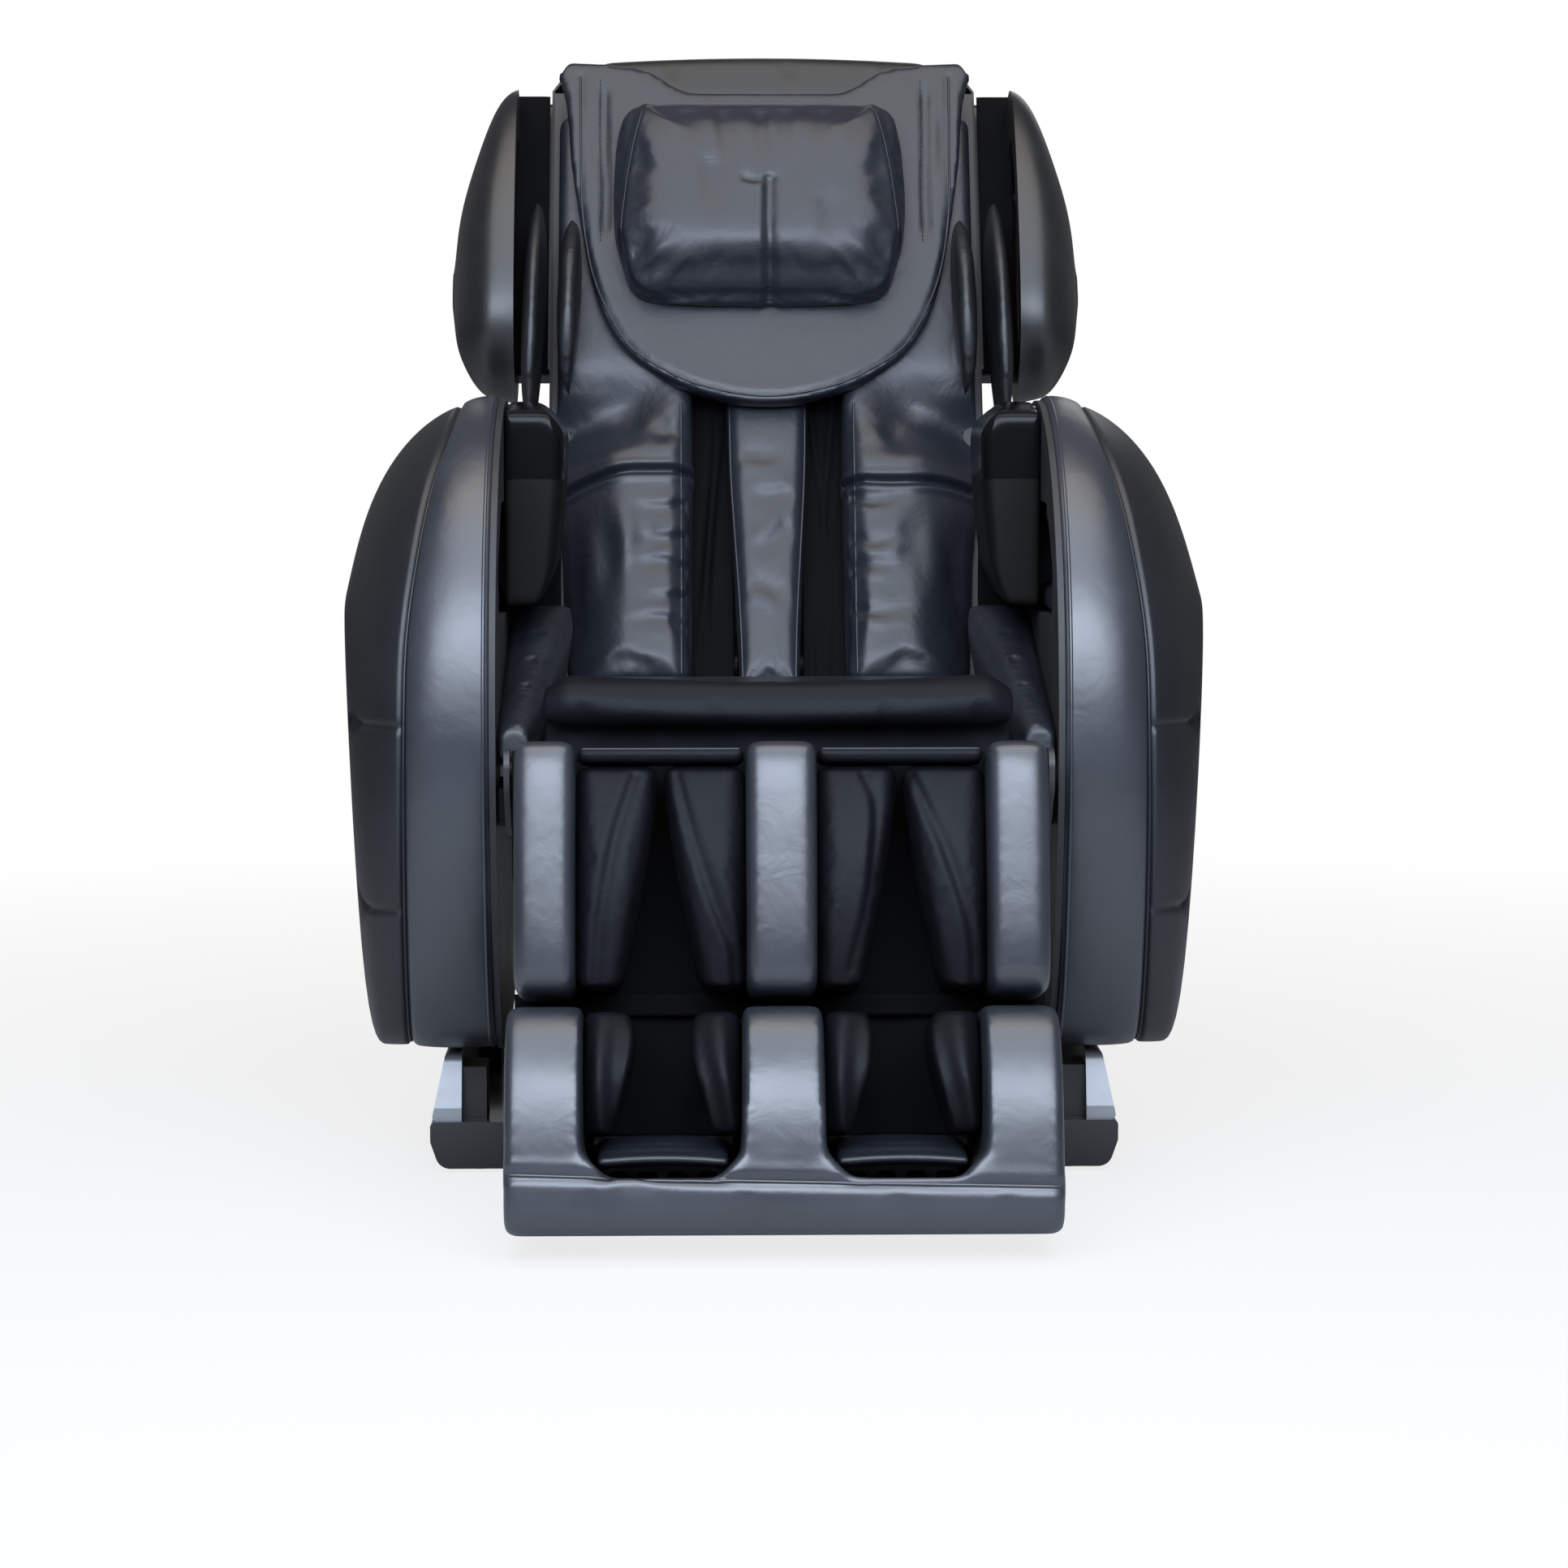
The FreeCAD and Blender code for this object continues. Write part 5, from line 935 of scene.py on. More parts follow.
def crease(piece, axes, controls, width, depth, lean, fade=0.45):
    """A soft fold that dies out at its ends, along (x, z) controls of the leaning front view."""
    press(piece, drop(piece, controls, axes), width, depth, lean=lean, fade=fade)


def finer(piece):
    """The same piece with four faces for each."""
    return apply(piece, "SUBSURF", levels=1, render_levels=1)


def each_mirrored(controls):
    """The same controls on both sides of the chair."""
    return controls, [(-x, z) for x, z in controls]


# %% Strips of cloth
CLOTH_THICK = 0.0014


def cloth_strip(name, axes, x_range, z_range, depth, body, cuts, sign=1, nodes=()):
    """A thin cloth made from a grid, near black as painted shade. depth gives its place from front to back
    for each x and z.
    """
    bpy.ops.object.select_all(action="DESELECT")
    bpy.ops.mesh.primitive_grid_add(x_subdivisions=cuts[0], y_subdivisions=cuts[1], size=1)
    piece = bpy.context.object
    piece.name = name
    share = points(piece) + 0.5
    x = x_range[0] + share[:, 0] * (x_range[1] - x_range[0])
    z = z_range[0] + share[:, 1] * (z_range[1] - z_range[0])
    set_points(piece, turned(axes, np.stack([sign * x, depth(x, z), z], axis=1)))
    tidy_mesh(piece, merge=False, face_out=True)
    apply(piece, "SOLIDIFY", thickness=CLOTH_THICK, offset=0)
    finish_piece(piece, body, "soft_cover", nodes, fill=0.1, material="groove_cloth")


# %% [markdown]
# ## The seat
# The cushion itself is nearly hidden. What shows is the roll at its front: a bolster of foam in a tight
# cover, a little lower in the middle where people slide off it, with round ends. Two slimmer bolsters
# hold the hips. All are rebuilt from their solids. The bolsters are then blown up a little and creased.

# %% Seat cushion and front roll
ROLL_HALF = 0.241
ROLL_MIDDLE_Z = 0.505
ROLL_MIDDLE_Y = -0.322

seat = rebuild(take("seat_cushion", "seat_cover"), voxel=0.009)
finer(seat)
for y_line in (-0.17, -0.02):
    across = [(-0.22, y_line, 0.53), (0, y_line - 0.008, 0.53), (0.22, y_line, 0.53)]
    press(seat, nearest(seat, across, step=0.004), width=0.005, depth=0.004, ridge=0.001)
finish_piece(seat, "chair", "soft_cover", ["seat_cushion"], fill=0.7)


def roll_form(x, y, z):
    """Sags in the middle and closes round at its ends."""
    close = rise(np.abs(x), ROLL_HALF - 0.040, ROLL_HALF + 0.004)
    shrink = 1 - 0.34 * close**2
    sag = 0.0075 * (1 - (x / ROLL_HALF) ** 2) * rise(z, ROLL_MIDDLE_Z - 0.03, ROLL_MIDDLE_Z + 0.04)
    y = ROLL_MIDDLE_Y + (y - ROLL_MIDDLE_Y) * shrink
    return x, y, ROLL_MIDDLE_Z + (z - ROLL_MIDDLE_Z) * shrink - sag


roll = rebuild(take("seat_front_roll", "seat_roll_cover"), voxel=0.006, smooth=8)
puff(roll, (1.03, 1.02, 1.02), cap=0.004, held=local(roll, LEVEL)[2] < 0.462, frames=12)
finer(roll)
sculpt(roll, LEVEL, roll_form)
for start, end in ((-0.205, -0.196), (0.207, 0.199), (-0.07, -0.064), (0.11, 0.104)):
    crease(roll, LEVEL, [(start, 0.535), ((start + end) / 2, 0.515), (end, 0.492)], width=0.008,
           depth=0.0016, lean=0.0012)
finish_piece(roll, "chair", "soft_cover", ["seat_front_roll"], fill=0.9, material="dark_cover")

# %% Hip bolsters
HIP_WRINKLES = (-0.21, -0.13, -0.04)

for piece in take_each("hip_pads", ("hip_pad_right", "hip_pad_left")):
    rebuild(piece, voxel=0.006, smooth=8)
    puff(piece, (1.02, 1.03, 1.03), cap=0.004, held=local(piece, LEVEL)[2] < 0.47, frames=10)
    finer(piece)
    sign = math.copysign(1, points(piece)[:, 0].mean())
    for y in HIP_WRINKLES:
        across = [(sign * 0.232, y - 0.01, 0.62), (sign * 0.255, y, 0.64), (sign * 0.28, y + 0.012, 0.62)]
        press(piece, nearest(piece, across), width=0.006, depth=0.003, ridge=0.001, fade=0.4)
    finish_piece(piece, "chair", "soft_cover", ["hip_pads"], fill=0.7)

# %% [markdown]
# ## The forearm airbags
# Thin air cushions lie in the recess of each arm, above and below the forearm. Cloth with little air in
# it is nearly flat and wrinkles along its length, so these get small even swellings and no simulation.

# %% Forearm airbags


def cells(axis, pitch, height):
    """A rule of low even swellings along one axis, on both faces."""

    def rule(x, y, z):
        along = (x, y, z)[axis]
        swell = 1 + height * (np.abs(np.sin(math.pi * along / pitch)) - 0.6)
        middle = (z.max() + z.min()) / 2
        return x, y, middle + (z - middle) * swell

    return rule


for piece in take_each("arm_airbags", [f"forearm_airbag_{n}" for n in (1, 2, 3, 4)]):
    rebuild(piece, voxel=0.005, smooth=4)
    sculpt(piece, LEVEL, cells(axis=1, pitch=0.062, height=0.16))
    finish_piece(piece, "chair", "soft_cover", ["arm_airbags"], fill=0.5)

# %% [markdown]
# ## The back's side pads
# Each side pad is a long strip of foam under leather. It is full beside the spine and falls away towards
# the arm. It folds where the sitter's waist is, because the back bends there, and the leather gathers in
# short wrinkles where it is sewn to its piping. Left and right never wrinkle alike, so each has its own
# folds.

# %% Side pads
PAD_REAR = -0.015
PAD_THICK = 0.045
UNDER_SHIELD = 0.43
WAIST_FOLDS = {
    "right": [(-0.084, 0.323), (-0.125, 0.322), (-0.170, 0.321), (-0.215, 0.312), (-0.25, 0.300)],
    "left": [(0.084, 0.312), (0.125, 0.308), (0.165, 0.308), (0.210, 0.312), (0.25, 0.308)],
}
SHORT_FOLDS = {
    "right": [
        [(-0.092, 0.286), (-0.125, 0.276), (-0.172, 0.282)],
        [(-0.092, 0.246), (-0.120, 0.238), (-0.158, 0.243)],
        [(-0.092, 0.206), (-0.128, 0.211), (-0.178, 0.200)],
        [(-0.092, 0.172), (-0.118, 0.166), (-0.150, 0.172)],
        [(-0.092, 0.134), (-0.126, 0.142), (-0.176, 0.134)],
    ],
    "left": [
        [(0.092, 0.289), (0.122, 0.279), (0.166, 0.285)], [(0.092, 0.236), (0.126, 0.228), (0.176, 0.240)],
        [(0.092, 0.196), (0.120, 0.201), (0.156, 0.192)], [(0.092, 0.152), (0.128, 0.142), (0.180, 0.152)],
    ],
}
LONG_PULLS = {
    "right": [
        [(-0.160, 0.30), (-0.150, 0.24), (-0.156, 0.17)], [(-0.200, 0.29), (-0.192, 0.22), (-0.196, 0.14)],
        [(-0.120, 0.400), (-0.128, 0.37), (-0.122, 0.345)],
    ],
    "left": [
        [(0.168, 0.30), (0.158, 0.235), (0.162, 0.18)], [(0.130, 0.395), (0.140, 0.365), (0.136, 0.34)],
        [(0.200, 0.28), (0.205, 0.20), (0.198, 0.13)],
    ],
}


def side_pad_form(fold):
    """Thin at the flank, soft at the inner edge, swollen just above the fold at the waist."""
    line = np.array(sorted((abs(x), z) for x, z in fold))

    def rule(x, y, z):
        out = np.abs(x)
        free = 1 - rise(z, UNDER_SHIELD - 0.05, UNDER_SHIELD)
        share = 1 - free * (0.70 * rise(out, 0.160, 0.256) + 0.10 * (1 - rise(out, 0.087, 0.112)))
        share -= 0.55 * hill(z, 0.402, 0.042) * rise(out, 0.100, 0.175)
        depth = (PAD_REAR - y) * share
        height = z - np.interp(out, line[:, 0], line[:, 1])
        swell = 0.0060 * hill(height, 0.024, 0.020) + 0.0030 * hill(height, -0.060, 0.050)
        depth += free * swell * np.clip(depth / PAD_THICK, 0, 1)
        return x, PAD_REAR - depth, z - 0.048 * rise(z, 0.740, 0.850)

    return rule


for side, sign in SIDES:
    piece = rebuild(take(f"back_pad_{side}", f"side_pad_{side}"), voxel=0.006, smooth=6)
    x, y, z = local(piece, BACK)
    puff(piece, (1.03, 1, 1.05), cap=0.006, held=(z > UNDER_SHIELD - 0.02) | (y > -0.024), lean=BACK)
    finer(piece)
    sculpt(piece, BACK, side_pad_form(WAIST_FOLDS[side]))
    press(piece, drop(piece, WAIST_FOLDS[side], BACK), width=0.0042, depth=0.0085, ridge=0.0022)
    for folds, width, depth, lean, fade in (
        (SHORT_FOLDS[side], 0.0075, 0.0024, 0.0030, (0.04, 0.85)),
        (LONG_PULLS[side], 0.014, 0.0016, 0.0046, 0.5),
    ):
        for controls in folds:
            crease(piece, BACK, controls, width, depth, lean, fade)
    finish_piece(piece, "backrest", "soft_cover", [f"back_pad_{side}"], fill=0.7)
    sewn = drop(piece, [(sign * 0.1005, z) for z in (0.075, 0.16, 0.25, 0.33, 0.41)], BACK)
    welt(f"side_pad_welt_{side}", sewn, 0.0015, "backrest", "soft_cover", lift=0.0004)

# %% [markdown]
# ## The centre panel
# Between two deep grooves lies a narrow padded panel, loose over the rollers that travel behind it. It
# tapers downwards and its leather is slack, so it has long slanting folds. It is modelled from a block:
# stretched, bevelled, rebuilt in small squares, blown up as cloth and creased. The grooves are closed by
# cloth, modelled as strips with soft folds, which the light shows at the bottom of each groove. The cloth
# is near black, as painted shade deep in the grooves.

# %% Centre panel and the cloth in the grooves
PANEL_HALF_LOW = 0.034
PANEL_HALF_HIGH = 0.050
PANEL_LOW = 0.064
PANEL_HIGH = 0.800
PANEL_FRONT = -0.050
PANEL_REAR = -0.022
GROOVE_REAR = -0.017
PANEL_FOLDS = [
    [(0.026, 0.272), (0.004, 0.244), (-0.024, 0.222)], [(-0.036, 0.347), (-0.008, 0.340), (0.030, 0.344)],
    [(0.032, 0.306), (0.004, 0.301), (-0.030, 0.300)], [(-0.026, 0.186), (0.002, 0.174), (0.022, 0.152)],
]


def panel_taper(x, y, z):
    """Narrower towards the seat, and crowned across."""
    narrow = np.interp(z, (PANEL_LOW, 0.40), (PANEL_HALF_LOW, PANEL_HALF_HIGH)) / PANEL_HALF_HIGH
    crown = 0.12 * (x / PANEL_HALF_HIGH) ** 2
    return x * narrow, PANEL_REAR - (PANEL_REAR - y) * (1 - crown), z


def groove_depth(sign):
    """How far back the cloth lies: two slack folds wander down the groove, not alike on both sides."""

    def depth(x, z):
        wide = hill(x, 0.074 - 0.016 * np.sin(5.5 * z + sign), 0.0045)
        slack = wide + 0.7 * hill(x, 0.058 + 0.012 * np.sin(9 * z), 0.004)
        return GROOVE_REAR - 0.0060 * slack * (0.6 + 0.4 * np.sin(13 * z + 2 * sign))

    return depth


panel_size = (2 * PANEL_HALF_HIGH, PANEL_REAR - PANEL_FRONT, PANEL_HIGH - PANEL_LOW)
panel_middle = (0, (PANEL_REAR + PANEL_FRONT) / 2, (PANEL_HIGH + PANEL_LOW) / 2)
panel = rebuild(block("centre_panel", panel_size, panel_middle, 0.009, BACK), voxel=0.0045, smooth=4)
behind = local(panel, BACK)[1] > PANEL_REAR - 0.003
puff(panel, (1.05, 1, 1.04), cap=0.004, held=behind, lean=BACK, frames=14)
finer(panel)
sculpt(panel, BACK, panel_taper)
for controls in PANEL_FOLDS:
    crease(panel, BACK, controls, width=0.0100, depth=0.0014, lean=0.0026, fade=(0.25, 0.5))
finish_piece(panel, "backrest", "soft_cover", ["back_pad_centre"], fill=0.5)
for side, sign in SIDES:
    cloth_strip(f"groove_cloth_{side}", BACK, (0.040, 0.094), (0.064, 0.804), groove_depth(sign),
                "backrest", (24, 230), sign, ["back_pad_centre"])
    edge = [(sign * (0.044 - 0.014 * (1 - rise(z, 0.06, 0.40))), z) for z in (0.072, 0.15, 0.24, 0.33, 0.42)]
    welt(f"panel_welt_{side}", drop(panel, edge, BACK), 0.0014, "backrest", "soft_cover", lift=0.0002)

# %% [markdown]
# ## The head pad
# A shield-shaped pad covers the top of the back. Piping runs down from each ear and round the bottom, and
# a second seam runs inside it. Both are drawn as curves of the front view, pressed in, and the outer one
# gets its welt, the inner one its stitches.

# %% Head pad
SHIELD_PIPING = [
    (0.2195, 0.826), (0.2185, 0.740), (0.2150, 0.640), (0.2000, 0.556), (0.1690, 0.486), (0.1360, 0.453),
    (0.0775, 0.4215), (0, 0.4070),
]
PLEAT = [(0.1905, 0.822), (0.1900, 0.740), (0.1885, 0.670), (0.1895, 0.604)]
EAR_FOLDS = [
    [(0.236, 0.800), (0.238, 0.760), (0.232, 0.715)],
    [(0.204, 0.800), (0.206, 0.74), (0.203, 0.68)],
]


def both_sides(controls):
    """From one end over the middle to the other end."""
    return [(-x, z) for x, z in controls] + controls[-2::-1]


def shield_form(x, y, z):
    """Full between its seams, thin at its rim and blunt at the tips of its ears."""
    tip = rise(np.abs(x), 0.228, 0.262) * rise(z, 0.796, 0.850)
    x = x - np.sign(x) * 0.012 * tip
    z = z - 0.020 * tip
    bib = 1 - rise(z, 0.50, 0.56)
    full = 0.0050 * bib * np.clip(1 - (x / 0.16) ** 2, 0, 1)
    front = rise(-y, 0.064, 0.080)
    return x, y - full * front, z


shield = rebuild(take("head_pad", "head_cover"), voxel=0.0045, smooth=14)
sculpt(shield, BACK, shield_form)
piping = drop(shield, both_sides(SHIELD_PIPING), BACK)
press(shield, piping, width=0.0040, depth=0.0020, ridge=0.0004)
pleats = [drop(shield, controls, BACK) for controls in each_mirrored(PLEAT)]
for line in pleats:
    press(shield, line, width=0.0050, depth=0.0040, ridge=0.0008, fade=0.12)
for controls in EAR_FOLDS:
    for copy in each_mirrored(controls):
        crease(shield, BACK, copy, width=0.008, depth=0.0015, lean=0.0020)
finish_piece(shield, "backrest", "soft_cover", ["head_pad"], fill=0.6)
welt("head_piping", drop(shield, both_sides(SHIELD_PIPING), BACK), 0.0015, "backrest", "soft_cover",
     lift=0.0004)
for name, line in zip(("left", "right"), pleats):
    stitches(f"pleat_stitches_{name}", line, "backrest", "soft_cover", aside=0.0050)

# %% [markdown]
# ## The pillow
# The pillow hangs on straps over the head pad. Its front panel is narrow at the top and wide at the
# bottom, so the side panels show at the upper corners. The leather is gathered into the top seam and a
# seam runs down from the middle. It is the softest piece of the chair, and gets the most air.

# %% Pillow
PILLOW_REAR = -0.083
PILLOW_THICK = 0.068
PANEL_SEAM = [
    (0.136, 0.757), (0.148, 0.712), (0.157, 0.660), (0.163, 0.600), (0.160, 0.560), (0.146, 0.530),
]
PILLOW_FOLDS = [
    ([(-0.056, 0.757), (-0.052, 0.710), (-0.041, 0.645)], 0.010, 0.0026, 0.0026),
    ([(-0.006, 0.757), (-0.002, 0.712), (0.006, 0.655)], 0.009, 0.0024, -0.0024),
    ([(0.030, 0.757), (0.024, 0.717), (0.027, 0.668)], 0.009, 0.0020, -0.0020),
    ([(0.078, 0.757), (0.070, 0.725), (0.074, 0.680)], 0.010, 0.0014, -0.0018),
    ([(-0.102, 0.757), (-0.096, 0.725), (-0.098, 0.690)], 0.010, 0.0014, 0.0018),
    ([(-0.036, 0.655), (-0.012, 0.648), (0.014, 0.653)], 0.006, 0.0030, 0.0016),
    ([(-0.072, 0.690), (-0.069, 0.640), (-0.060, 0.590)], 0.013, 0.0026, 0.0022),
    ([(-0.160, 0.555), (-0.132, 0.575), (-0.092, 0.584)], 0.011, 0.0030, 0.0034),
    ([(-0.150, 0.532), (-0.128, 0.548), (-0.100, 0.550)], 0.009, 0.0022, 0.0026),
    ([(0.146, 0.552), (0.120, 0.575), (0.084, 0.590)], 0.011, 0.0030, -0.0034),
    ([(0.134, 0.530), (0.114, 0.548), (0.090, 0.552)], 0.009, 0.0022, -0.0026),
    ([(0.060, 0.640), (0.068, 0.595), (0.061, 0.550)], 0.014, 0.0016, 0.0022),
]


def pillow_form(x, y, z):
    """Hung a little to one side, with side panels set back from the front one."""
    seam = np.interp(z, [p[1] for p in PANEL_SEAM[::-1]], [p[0] for p in PANEL_SEAM[::-1]])
    front = np.clip((PILLOW_REAR - y) / PILLOW_THICK, 0, 1)
    back_off = 0.012 * rise(np.abs(x), seam - 0.004, seam + 0.010) * front
    corner = 0.012 * (np.abs(x) / 0.172) ** 4 * front
    bottom = 0.030 * (1 - rise(z, 0.520, 0.615)) ** 2 * front + 0.006 * rise(z, 0.70, 0.765) * front
    return x * 0.985 - 0.008, y + back_off + corner + bottom, z + 0.005 * rise(z, 0.70, 0.765)


pillow = rebuild(take("head_pillow", "pillow_cover"), voxel=0.005, smooth=5)
puff(pillow, (1.05, 1.02, 1.06), cap=0.008, held=local(pillow, BACK)[1] > PILLOW_REAR - 0.006, lean=BACK)
finer(pillow)
sculpt(pillow, BACK, pillow_form)
for controls, width, depth, lean in PILLOW_FOLDS:
    crease(pillow, BACK, controls, width, depth, lean, fade=(0.25, 0.7))
middle_seam = drop(pillow, [(0.001, 0.648), (0, 0.60), (0.001, 0.55), (0, 0.512)], BACK)
press(pillow, middle_seam, width=0.0070, depth=0.0045, lean=0.0030)
side_seams = [drop(pillow, [(s * x - 0.008, z) for x, z in PANEL_SEAM], BACK) for s in (-1, 1)]
for line in side_seams:
    press(pillow, line, width=0.0040, depth=0.0024, ridge=0.0004)
finish_piece(pillow, "pillow", "soft_cover", ["head_pillow"], fill=0.6)
for name, line in zip(("right", "left"), side_seams):
    welt(f"pillow_welt_{name}", line, 0.0013, "pillow", "soft_cover", lift=-0.0016)

# %% [markdown]
# ## The shoulder airbags
# Two pairs of air cushions stand beside the shoulders. Each is a flat bag welded round its rim, so it is
# thick in the middle and thin at its edge.

# %% Shoulder airbags


def lens_form(x, y, z):
    """Thins a standing bag towards its rim."""
    middle = (x.max() + x.min()) / 2
    round_y = (y - (y.max() + y.min()) / 2) / (y.max() - y.min()) * 2
    round_z = (z - (z.max() + z.min()) / 2) / (z.max() - z.min()) * 2
    full = np.clip(1.12 - 0.55 * round_y**2 - 0.35 * round_z**4, 0.35, 1)
    return middle + (x - middle) * full, y, z


for piece in take_each("shoulder_airbags", [f"shoulder_airbag_{n}" for n in (1, 2, 3, 4)]):
    rebuild(piece, voxel=0.005, smooth=8)
    sculpt(piece, BACK, lens_form)
    finer(piece)
    finish_piece(piece, "backrest", "soft_cover", ["shoulder_airbags"], fill=0.6, material="black_leather")

# %% [markdown]
# ## The calf rest
# Three upright walls in the light leather hold two channels. In each channel two dark air pads stand like
# an upside down V, with a black gap between them that widens downwards. Each has one seam along its limb.
# The board seen in the gap is near black, as painted shade at the back of the channel.
# A narrow padded strip closes the top of each channel.

# %% Calf walls


def wall_form(x, y, z):
    """A low crown down the middle of the wall's front."""
    middle = (x.max() + x.min()) / 2
    half = (x.max() - x.min()) / 2
    return x, y - 0.0045 * (1 - ((x - middle) / half) ** 2) * rise(-y, 0.04, 0.09), z


for piece in take_each("calf_walls", ("calf_wall_right", "calf_wall_centre", "calf_wall_left")):
    rebuild(piece, voxel=0.0042, smooth=18)
    sculpt(piece, LEG, wall_form)
    finish_piece(piece, "calf_rest", "soft_cover", ["calf_walls"], fill=0.8, material="grey_leather")

# %% Calf airbags
LIMB_SEAMS = [
    [(-0.1473, -0.014), (-0.1660, -0.074), (-0.1803, -0.150), (-0.186, -0.222)],
    [(-0.1060, -0.014), (-0.0885, -0.0816), (-0.0684, -0.143), (-0.0505, -0.187), (-0.047, -0.222)],
    [(0.0824, -0.014), (0.0937, -0.049), (0.0864, -0.1358), (0.0679, -0.2078)],
    [(0.1291, -0.014), (0.1654, -0.100), (0.1872, -0.172), (0.190, -0.222)],
]

calf_airbags = take_each("calf_airbags", [f"calf_airbag_{n}" for n in (1, 2, 3, 4)])
for piece, seam in zip(calf_airbags, LIMB_SEAMS, strict=True):
    rebuild(piece, voxel=0.005, smooth=8)
    puff(piece, (1.02, 1.03, 1.03), cap=0.0035, held=local(piece, LEG)[1] > 0.01, lean=LEG, frames=10)
    finer(piece)
    line = drop(piece, seam, LEG)
    press(piece, line, width=0.0060, depth=0.0026, lean=0.0018)
    finish_piece(piece, "calf_rest", "soft_cover", ["calf_airbags"], fill=0.6, material="dark_cover")

# %% Padded strips over the channels
STRIP_WIDE = 0.167
STRIP_MIDDLE = 0.120

for side, sign in SIDES:
    name = f"calf_strip_{side}"
    strip = block(name, (STRIP_WIDE, 0.052, 0.015), (sign * STRIP_MIDDLE, -0.045, 0.0065), 0.0055, LEG)
    rebuild(strip, voxel=0.004, smooth=3)
    finish_piece(strip, "calf_rest", "soft_cover", fill=0.7, material="dark_cover")
    front = drop(strip, [(sign * x, 0.0115) for x in (0.042, 0.12, 0.198)], LEG)
    welt(name + "_welt", front, 0.0012, "calf_rest", "soft_cover", lift=0.0002)

# %% [markdown]
# ## The foot unit
# One cover is drawn over the whole housing: over the three walls, down the front and round the toe bar. A
# seam with piping crosses the front above the bar. Inside, dark flaps with upright folds press the feet,
# a thin pad covers the rollers under each sole, and near-black cloth lines the back of each channel as
# painted shade.

# %% Foot cover
TOE_SEAM = [(-0.266, -0.4130), (-0.14, -0.4170), (0, -0.4205), (0.14, -0.4235), (0.266, -0.4265)]

foot = rebuild(take("foot_shell", "foot_cover"), voxel=0.0045, smooth=16)
toe_line = drop(foot, TOE_SEAM, LEG)
press(foot, toe_line, width=0.0050, depth=0.0030, ridge=0.0006)
for x, tilt in ((-0.20, 0.01), (-0.04, -0.006), (0.10, 0.008), (0.215, -0.01)):
    crease(foot, LEG, [(x, -0.428), (x + tilt / 2, -0.444), (x + tilt, -0.462)], width=0.009,
           depth=0.0010, lean=0.0012)
finish_piece(foot, "foot_rest", "black_leather", ["foot_shell"], fill=0.8, material="grey_leather")
welt("toe_welt", toe_line, 0.0016, "foot_rest", "black_leather", lift=-0.0016, material="grey_leather")

# %% Foot flaps and soles


def flap_form(x, y, z):
    """Upright folds, deeper towards the front edge."""
    depth = rise(-y, 0.02, 0.10)
    wall = np.where(np.abs(x).mean() > 0.12, 0.1965, 0.0405)
    wide = wall + (np.abs(x) - wall) * (1 + 0.55 * rise(z, -0.375, -0.255))
    return np.sign(x) * wide, y - 0.0035 * depth * np.sin(x / 0.0042 + 2.0 * np.sin(z / 0.060)), z


def sole_form(x, y, z):
    """A fold across the pad and a low crown."""
    crown = 0.0035 * (1 - ((np.abs(x) - 0.1185) / 0.066) ** 2)
    return x, y, z + crown - 0.0040 * hill(y, -0.080, 0.006) - 0.0030 * hill(y, -0.045, 0.006)


for piece in take_each("foot_airbags", [f"foot_airbag_{n}" for n in (1, 2, 3, 4)]):
    rebuild(piece, voxel=0.005, smooth=6)
    sculpt(finer(piece), LEG, flap_form)
    finish_piece(piece, "foot_rest", "soft_cover", ["foot_airbags"], fill=0.5, material="dark_cover")
for piece in take_each("sole_pads", ("sole_cover_right", "sole_cover_left")):
    rebuild(piece, voxel=0.005, smooth=3)
    sculpt(finer(piece), LEG, sole_form)
    finish_piece(piece, "foot_rest", "soft_cover", ["sole_pads"], fill=0.6)

# %% Lining of the foot channels
LINING_IN = 0.0390
LINING_OUT = 0.1985
LINING_REAR = 0.0345


def lining_depth(x, z):
    """Slack folds that run up the lining."""
    return LINING_REAR - 0.0018 * (1 + np.sin(x / 0.012 + 2 * np.sin(z / 0.05)))


def skirt_depth(x, z):
    """The skirt closes the gap between calf rest and foot unit, in shallow waves."""
    return 0.021 + 0.001 * np.sin(x / 0.011)


# the lining's near-black cloth is painted shade at the back of each foot channel
for side, sign in SIDES:
    cloth_strip(f"channel_lining_{side}", LEG, (LINING_IN, LINING_OUT), (-0.371, -0.231), lining_depth,
                "foot_rest", (40, 38), sign)
# the skirt's near-black cloth is painted shade in the gap under the calf rest
cloth_strip("calf_skirt", LEG, (-0.269, 0.269), (-0.2500, -0.2275), skirt_depth, "calf_rest", (160, 6))

# %% [markdown]
# ## The elbow guards
# A moulded guard closes the inside of each arm above the hip bolster. Its upper part is a gloss cap and
# its lower part a dull pad, and it narrows downwards. The solid's mesh is rebuilt and softened, so that
# its edges catch the light, and one material carries both finishes, told apart by height.

# %% Elbow guards
GUARD_LOW = 0.606
GUARD_OUTER = 0.291


def guard_form(x, y, z):
    """Narrower at the bottom, on the side of the seat."""
    share = 1 - 0.22 * (1 - rise(z, GUARD_LOW - 0.03, 0.79))
    return np.sign(x) * (GUARD_OUTER - (GUARD_OUTER - np.abs(x)) * share), y, z


for piece in take_each("arm_guards", ("elbow_guard_right", "elbow_guard_left")):
    rebuild(piece, voxel=0.005, smooth=10)
    sculpt(piece, LEVEL, guard_form)
    finish_piece(finer(piece), "chair", "gloss_black", ["arm_guards"], material="guard")

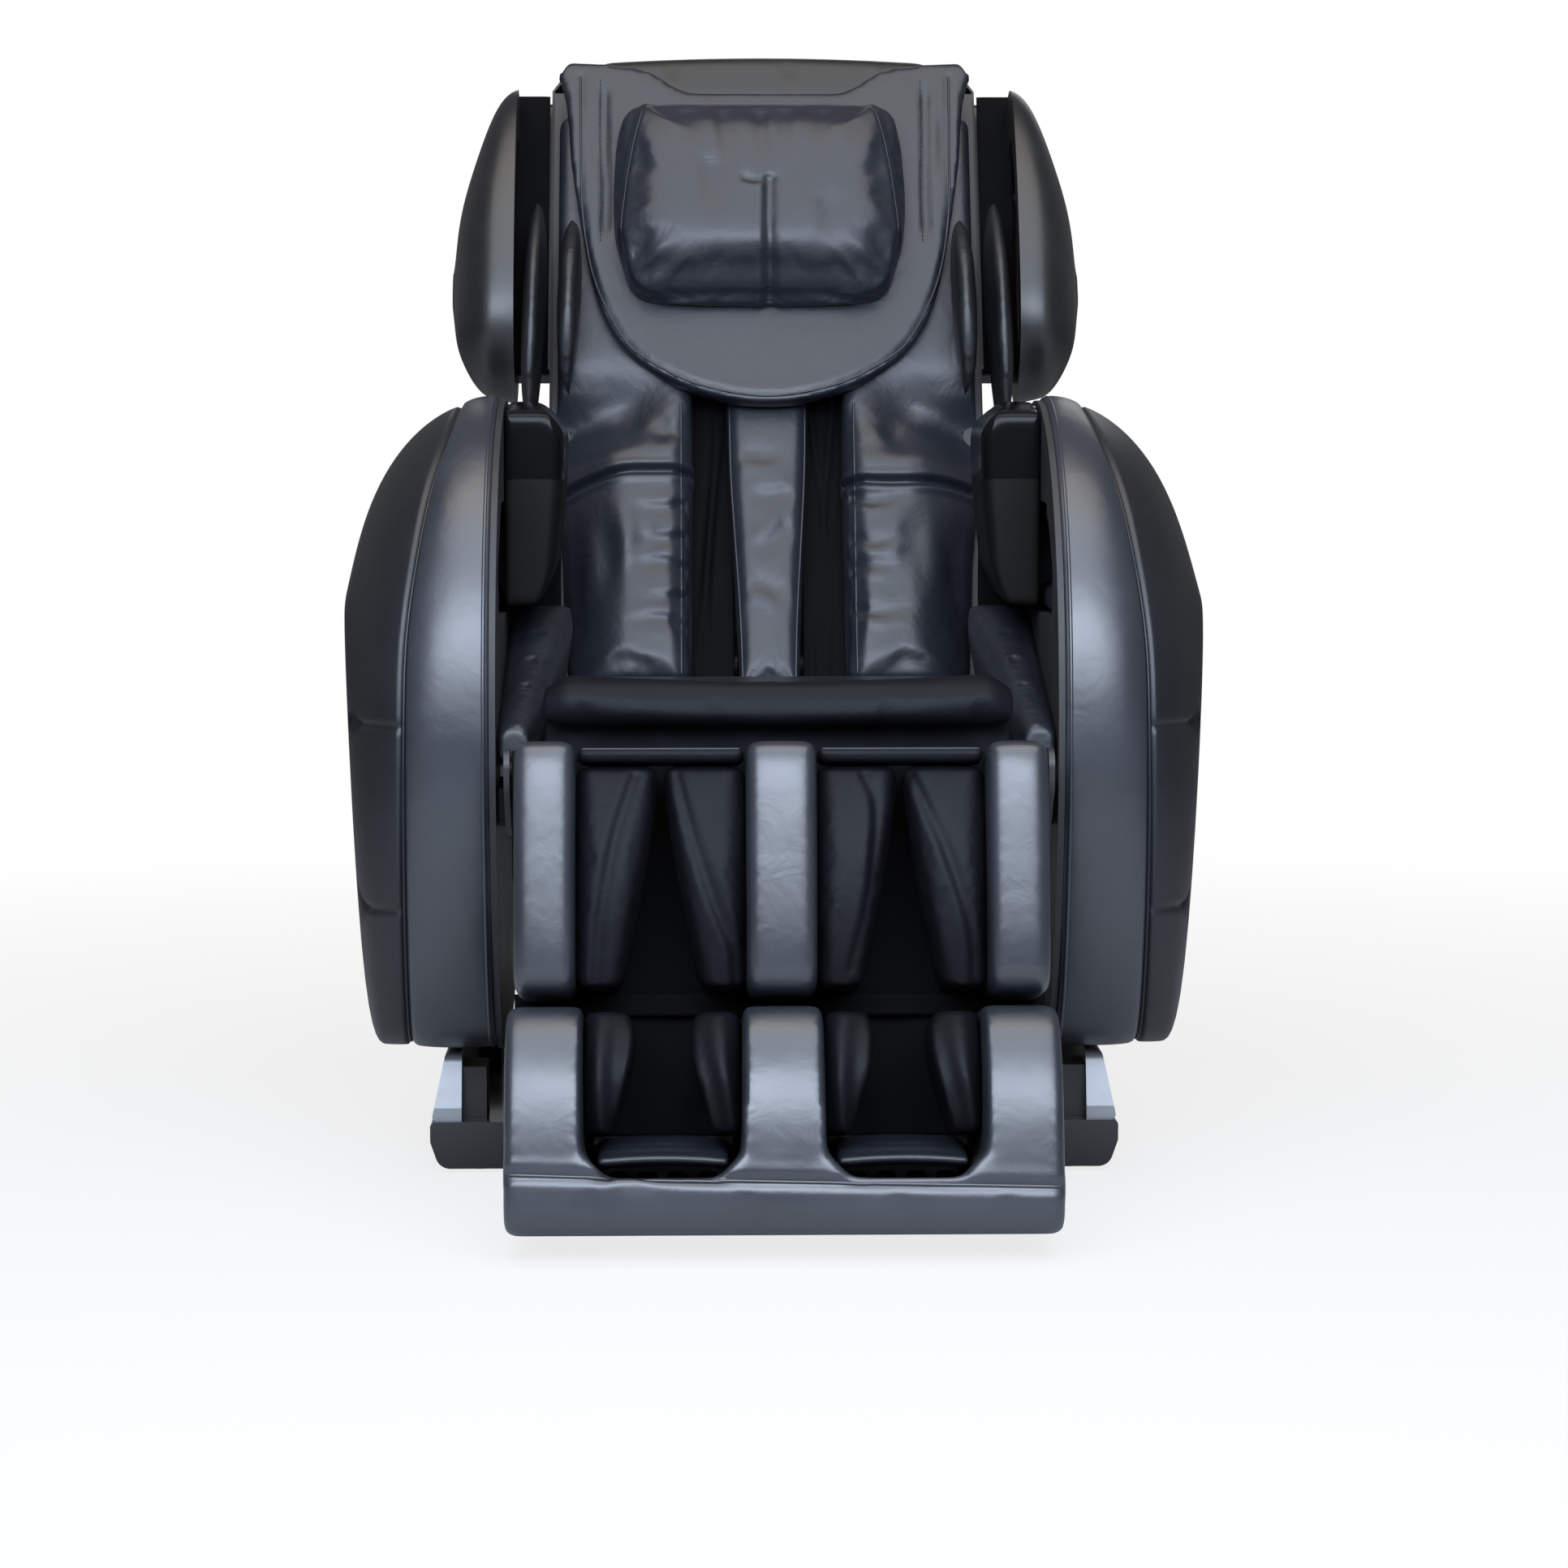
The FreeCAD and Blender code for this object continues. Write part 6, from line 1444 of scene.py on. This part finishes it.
# %% [markdown]
# ## Gussets and the crown
# Where the back meets the arms and the wings, black cloth closes the gap so that nothing can be caught in
# it; the cloth is near black, as painted shade in these gaps. Above the head pad, between its ears, the top
# of the back is a rounded padded strip. All are small, and are modelled from a grid or a block in the axes
# of the part that carries them.

# %% Gussets between arm, back and wing


def ripple(place, height, pitch):
    """A rule of small waves down a cloth."""
    return lambda x, z: place + height * np.sin(z / pitch + 2 * np.sin(x / 0.02))


for side, sign in SIDES:
    cloth_strip(f"arm_gusset_{side}", LEVEL, (0.236, 0.2980), (0.490, 0.700),
                ripple(place=0.120, height=0.0015, pitch=0.012), "chair", (16, 60), sign)
    cloth_strip(f"wing_gusset_{side}", BACK, (0.2575, 0.2985), (0.470, 0.836),
                ripple(place=-0.013, height=0.0012, pitch=0.014), "backrest", (16, 90), sign)

# %% Crown strip
CROWN_HALF = 0.205
CROWN_TOP = 0.874
CROWN_TALL = 0.072


def crown_form(x, y, z):
    """Arched a little, and lower at its ends."""
    return x, y, z - 0.008 * (x / CROWN_HALF) ** 2


crown_size = (2 * CROWN_HALF, 0.050, CROWN_TALL)
crown_middle = (0, -0.031, CROWN_TOP - CROWN_TALL / 2)
crown = rebuild(block("crown_strip", crown_size, crown_middle, 0.018, BACK), voxel=0.005, smooth=6)
sculpt(crown, BACK, crown_form)
for x in (-0.12, 0.02, 0.14):
    crease(crown, BACK, [(x, 0.868), (x + 0.004, 0.852), (x + 0.001, 0.836)], width=0.009, depth=0.0014,
           lean=0.0018)
finish_piece(crown, "backrest", "soft_cover", fill=0.8, material="shell_satin")

# %% [markdown]
# ## The floor
# The floor is plain and pale. For the camera it also glows a little, so that it meets the white
# background without a line and still keeps the chair's shadow.

# %% Floor


def floor_material():
    """Pale and dull, and near white for the camera, more so further from the chair."""
    material, tree, shader, place = new_material("floor")
    shader.inputs["Base Color"].default_value = (0.55, 0.56, 0.57, 1)
    shader.inputs["Roughness"].default_value = 0.85
    glow = add(tree, "Emission", {"Color": (1, 1, 1, 1), "Strength": 1.0})
    rays = add(tree, "LightPath")
    away = add(tree, "VectorMath", {0: place}, operation="LENGTH").outputs["Value"]
    white = between(tree, away, 0.8, 3.0, 0.80, 1.0)
    share = combine(tree, "MULTIPLY", rays.outputs["Is Camera Ray"], white)
    mix = add(tree, "MixShader", {0: share, 1: shader.outputs[0], 2: glow.outputs[0]})
    tree.links.new(mix.outputs[0], tree.nodes["Material Output"].inputs[0])
    return material


bpy.ops.object.select_all(action="DESELECT")
bpy.ops.mesh.primitive_plane_add(size=40, location=(0, 0, 0))
floor = bpy.context.object
floor.name = "floor"
floor.data.materials.append(floor_material())
